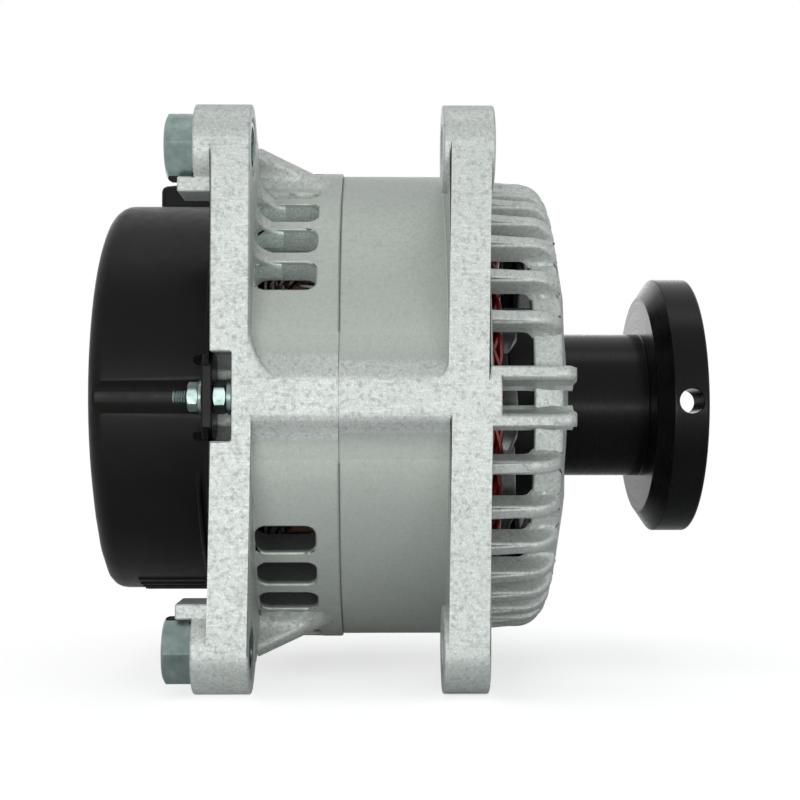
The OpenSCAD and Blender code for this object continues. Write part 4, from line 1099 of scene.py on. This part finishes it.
def shaft_end():
    """The nut and washer in the hub's well, on the shaft's threaded end."""
    centre = (0.0, 0.0)
    shaft_r = 7.0
    washer_back_x, nut_back_x, nut_front_x = -22.5, -20.0, -11.0
    dress(place("shaft_nut", nut(nut_back_x, nut_front_x, 22.0, shaft_r + 0.01, centre)), "rotor", "zinc_plate",
          "hub_nut")
    dress(place("shaft_washer", washer(washer_back_x, nut_back_x, 13.0, shaft_r + 0.05, centre)), "rotor",
          "zinc_plate", "hub_washer")


mount_bush("upper_bush", "upper_mount_bush", "upper_bush", LUG_Z)
mount_bush("lower_bush", "lower_mount_bush", "lower_bush", -LUG_Z)
through_bolts()
output_terminal()
shaft_end()


# Windings and fans


def windings(name, node, x0, x1):
    """Wires that leave each slot, lean over three slots and go back in, round a taped core."""
    slots, wires, rows, steps = 36, 7, 3, 13
    wire_r, outer_r, layer_t, row_turn, lean = 0.78, 59.4, 1.9, 1.7, 34
    overhang = x1 - x0
    bm = bmesh.new()
    for wire in range(wires):
        layer, row = divmod(wire, rows)
        reach = overhang * (0.97 - 0.13 * row - 0.03 * layer)
        last = None
        for i in range(steps + 1):
            u = i / steps
            turn = math.radians(lean * (3 * u * u - 2 * u * u * u) + row_turn * row)
            x = x0 + reach * math.sin(math.pi * u) ** 0.55
            r = outer_r - layer_t * layer - 1.3 * u
            vert = bm.verts.new((x, r * math.cos(turn), r * math.sin(turn)))
            if last:
                bm.edges.new((last, vert))
            last = vert
    grow(place(name + "_wires", bm), WIRE_TREE, "enamelled_copper", nodes=(node,), Count=slots,
         Step=math.tau / slots, Wire_Radius=wire_r * MM)
    bm = bmesh.new()
    in_r, out_r = 54.6, 58.2
    end = x0 + overhang * 0.8
    shoulder = end - overhang * 0.1
    lathe(bm, [(x0, in_r), (x0, out_r), (shoulder, out_r), (end, out_r - 1), (end, in_r + 0.8), (shoulder, in_r)],
          steps=90)
    dress(place(name + "_core", bm), "housing", "insulation", node)


def fan(name, node, back, front, plate_at_back):
    """A pressed fan: a flat ring with curved blades, their free corners rounded."""
    sheet, blades, steps = 1.5, 11, 9
    blade_in_r, blade_reach, sweep = 33, 17.4, 32
    ring_in_r, ring_out_r, soft = 8.5, 46.5, 0.4
    thick = math.radians(2.2)
    if plate_at_back:
        low, high = back + sheet / 2, front
        plate = (back, back + sheet)
    else:
        low, high = back, front - sheet / 2
        plate = (front - sheet, front)
    rings = []
    for i in range(steps + 1):
        u = i / steps
        radius = blade_in_r + blade_reach * u
        turn = math.radians(sweep * u ** 1.3)
        round_off = (high - low) * 0.16 * abs(2 * u - 1) ** 6
        top = high - round_off if plate_at_back else high
        foot = low if plate_at_back else low + round_off
        ring = []
        for x, share in ((foot, 0), (top - 0.5, 0), (top, 0.25), (top, 0.75), (top - 0.5, 1), (foot, 1)):
            spot = turn + thick * share
            ring.append((x, radius * math.cos(spot), radius * math.sin(spot)))
        rings.append(ring)
    bm = bmesh.new()
    made = skin(bm, rings)
    for end in (made[0], made[-1]):
        bm.faces.new(end)
    bmesh.ops.recalc_face_normals(bm, faces=bm.faces)
    grow(place(name + "_blades", bm), RING_TREE, "plain_steel", "rotor", (node,), Count=blades,
         Step=math.tau / blades)
    bm = bmesh.new()
    lathe(bm, [(plate[0], ring_in_r), (plate[0], ring_out_r - 0.3), (plate[0] + soft, ring_out_r),
               (plate[1] - soft, ring_out_r), (plate[1], ring_out_r - 0.3), (plate[1], ring_in_r)], steps=96)
    dress(place(name + "_ring", bm), "rotor", "plain_steel", node)


windings("drive_windings", "drive_end_winding", STATOR_FRONT_X, -61.5)
windings("rear_windings", "rear_end_winding", STATOR_BACK_X, -128.0)
fan("drive_fan", "drive_fan", -75.0, -56.0, True)
fan("rear_fan", "rear_fan", -126.0, -117.0, False)


# Carried-over nodes


SLOT_OF = {part["node"]: part["material_slot"] for part in frame["record"]["subparts"]}
for node, holder in frame["nodes"].items():
    for i in range(len(holder.data.materials)):
        holder.material_slots[i].link = "OBJECT"
        holder.material_slots[i].material = FINISHES[SLOT_OF[node]]


# Floor, light and camera


def floor():
    """White paper under the object, which fades into the white surround."""
    reach, paper, glow_strength = 700, 0.97, 0.62
    fade_from, fade_to = 130, 300
    f = Finish("floor_paper", Base_Color=colour(paper, paper, paper), Roughness=0.9)
    far = f.add("ShaderNodeVectorMath", {0: f.place}, operation="LENGTH").outputs["Value"]
    clear = f.add("ShaderNodeBsdfTransparent").outputs[0]
    seen = f.add("ShaderNodeLightPath").outputs["Is Camera Ray"]
    glow = f.add("ShaderNodeEmission", {"Strength": f.maths("MULTIPLY", seen, glow_strength)}).outputs[0]
    lit = f.add("ShaderNodeAddShader", {0: f.shader.outputs[0], 1: glow}).outputs[0]
    mix = f.add("ShaderNodeMixShader", {0: f.rise(far, fade_from, fade_to), 1: lit, 2: clear})
    f.tree.links.new(mix.outputs[0], f.tree.nodes["Material Output"].inputs["Surface"])
    bm = bmesh.new()
    low = cad_box[0].z / MM
    corners = ((-reach, -reach), (reach, -reach), (reach, reach), (-reach, reach))
    bm.faces.new([bm.verts.new((x, y, low)) for x, y in corners])
    piece = place("floor", bm)
    piece.data.materials.append(f.material)


STUDIO_TINT = (0.93, 0.97, 1.0, 1)
STUDIO_STRENGTH = 0.26


def sky():
    """Even studio light, and a white surround where the camera, gloss or glass looks past the object."""
    world = bpy.data.worlds.new("studio")
    bpy.context.scene.world = world
    world.use_nodes = True
    tree = world.node_tree
    light = tree.nodes["Background"]
    light.inputs["Color"].default_value = STUDIO_TINT
    light.inputs["Strength"].default_value = STUDIO_STRENGTH
    white = tree.nodes.new("ShaderNodeBackground")
    white.inputs["Color"].default_value = (1, 1, 1, 1)
    rays, seen, either, mix = (tree.nodes.new(kind) for kind in (
        "ShaderNodeLightPath", "ShaderNodeMath", "ShaderNodeMath", "ShaderNodeMixShader"))
    for node in (seen, either):
        node.operation = "MAXIMUM"
    tree.links.new(rays.outputs["Is Camera Ray"], seen.inputs[0])
    tree.links.new(rays.outputs["Is Glossy Ray"], seen.inputs[1])
    tree.links.new(seen.outputs[0], either.inputs[0])
    tree.links.new(rays.outputs["Is Transmission Ray"], either.inputs[1])
    tree.links.new(either.outputs[0], mix.inputs[0])
    tree.links.new(light.outputs[0], mix.inputs[1])
    tree.links.new(white.outputs[0], mix.inputs[2])
    tree.links.new(mix.outputs[0], tree.nodes["World Output"].inputs["Surface"])


def put(piece, position, target):
    """Sets a lamp or the camera in its place, turned to its target."""
    piece.location = position
    piece.rotation_mode = "QUATERNION"
    piece.rotation_quaternion = (Vector(target) - Vector(position)).to_track_quat("-Z", "Y")
    bpy.context.scene.collection.objects.link(piece)


# Name, place, target, size in metres and power in watts.
MIDDLE = (-0.09, 0, 0)
LAMPS = (
    ("key", (-0.35, -0.9, -0.02), MIDDLE, (0.7, 0.3), 2.35),
    ("low", (-0.09, -0.7, -0.065), (-0.09, 0, -0.05), (0.9, 0.05), 0.95),
    ("fill", (0.55, -0.85, 0.05), MIDDLE, (0.3, 0.7), 1.0),
    ("top", (-0.1, -0.1, 0.95), MIDDLE, (0.8, 0.3), 1.1),
    ("back", (-0.2, 0.95, 0.3), MIDDLE, (0.9, 0.5), 1.4),
)


def lamps():
    for name, position, target, size, power in LAMPS:
        data = bpy.data.lights.new(name, "AREA")
        data.shape = "RECTANGLE"
        data.size, data.size_y = size
        data.energy = power
        put(bpy.data.objects.new(name, data), position, target)


def camera():
    """The photograph's view: from the lugs' side, a little below the shaft."""
    data = bpy.data.cameras.new("camera")
    data.lens = 63
    data.sensor_width = 36
    piece = bpy.data.objects.new("camera", data)
    put(piece, Vector((-96.7, -440.8, -13.1)) * MM, Vector((-88.8, 0, 1.5)) * MM)
    bpy.context.scene.camera = piece


floor()
sky()
lamps()
camera()
bpy.context.scene.view_settings.view_transform = "Standard"
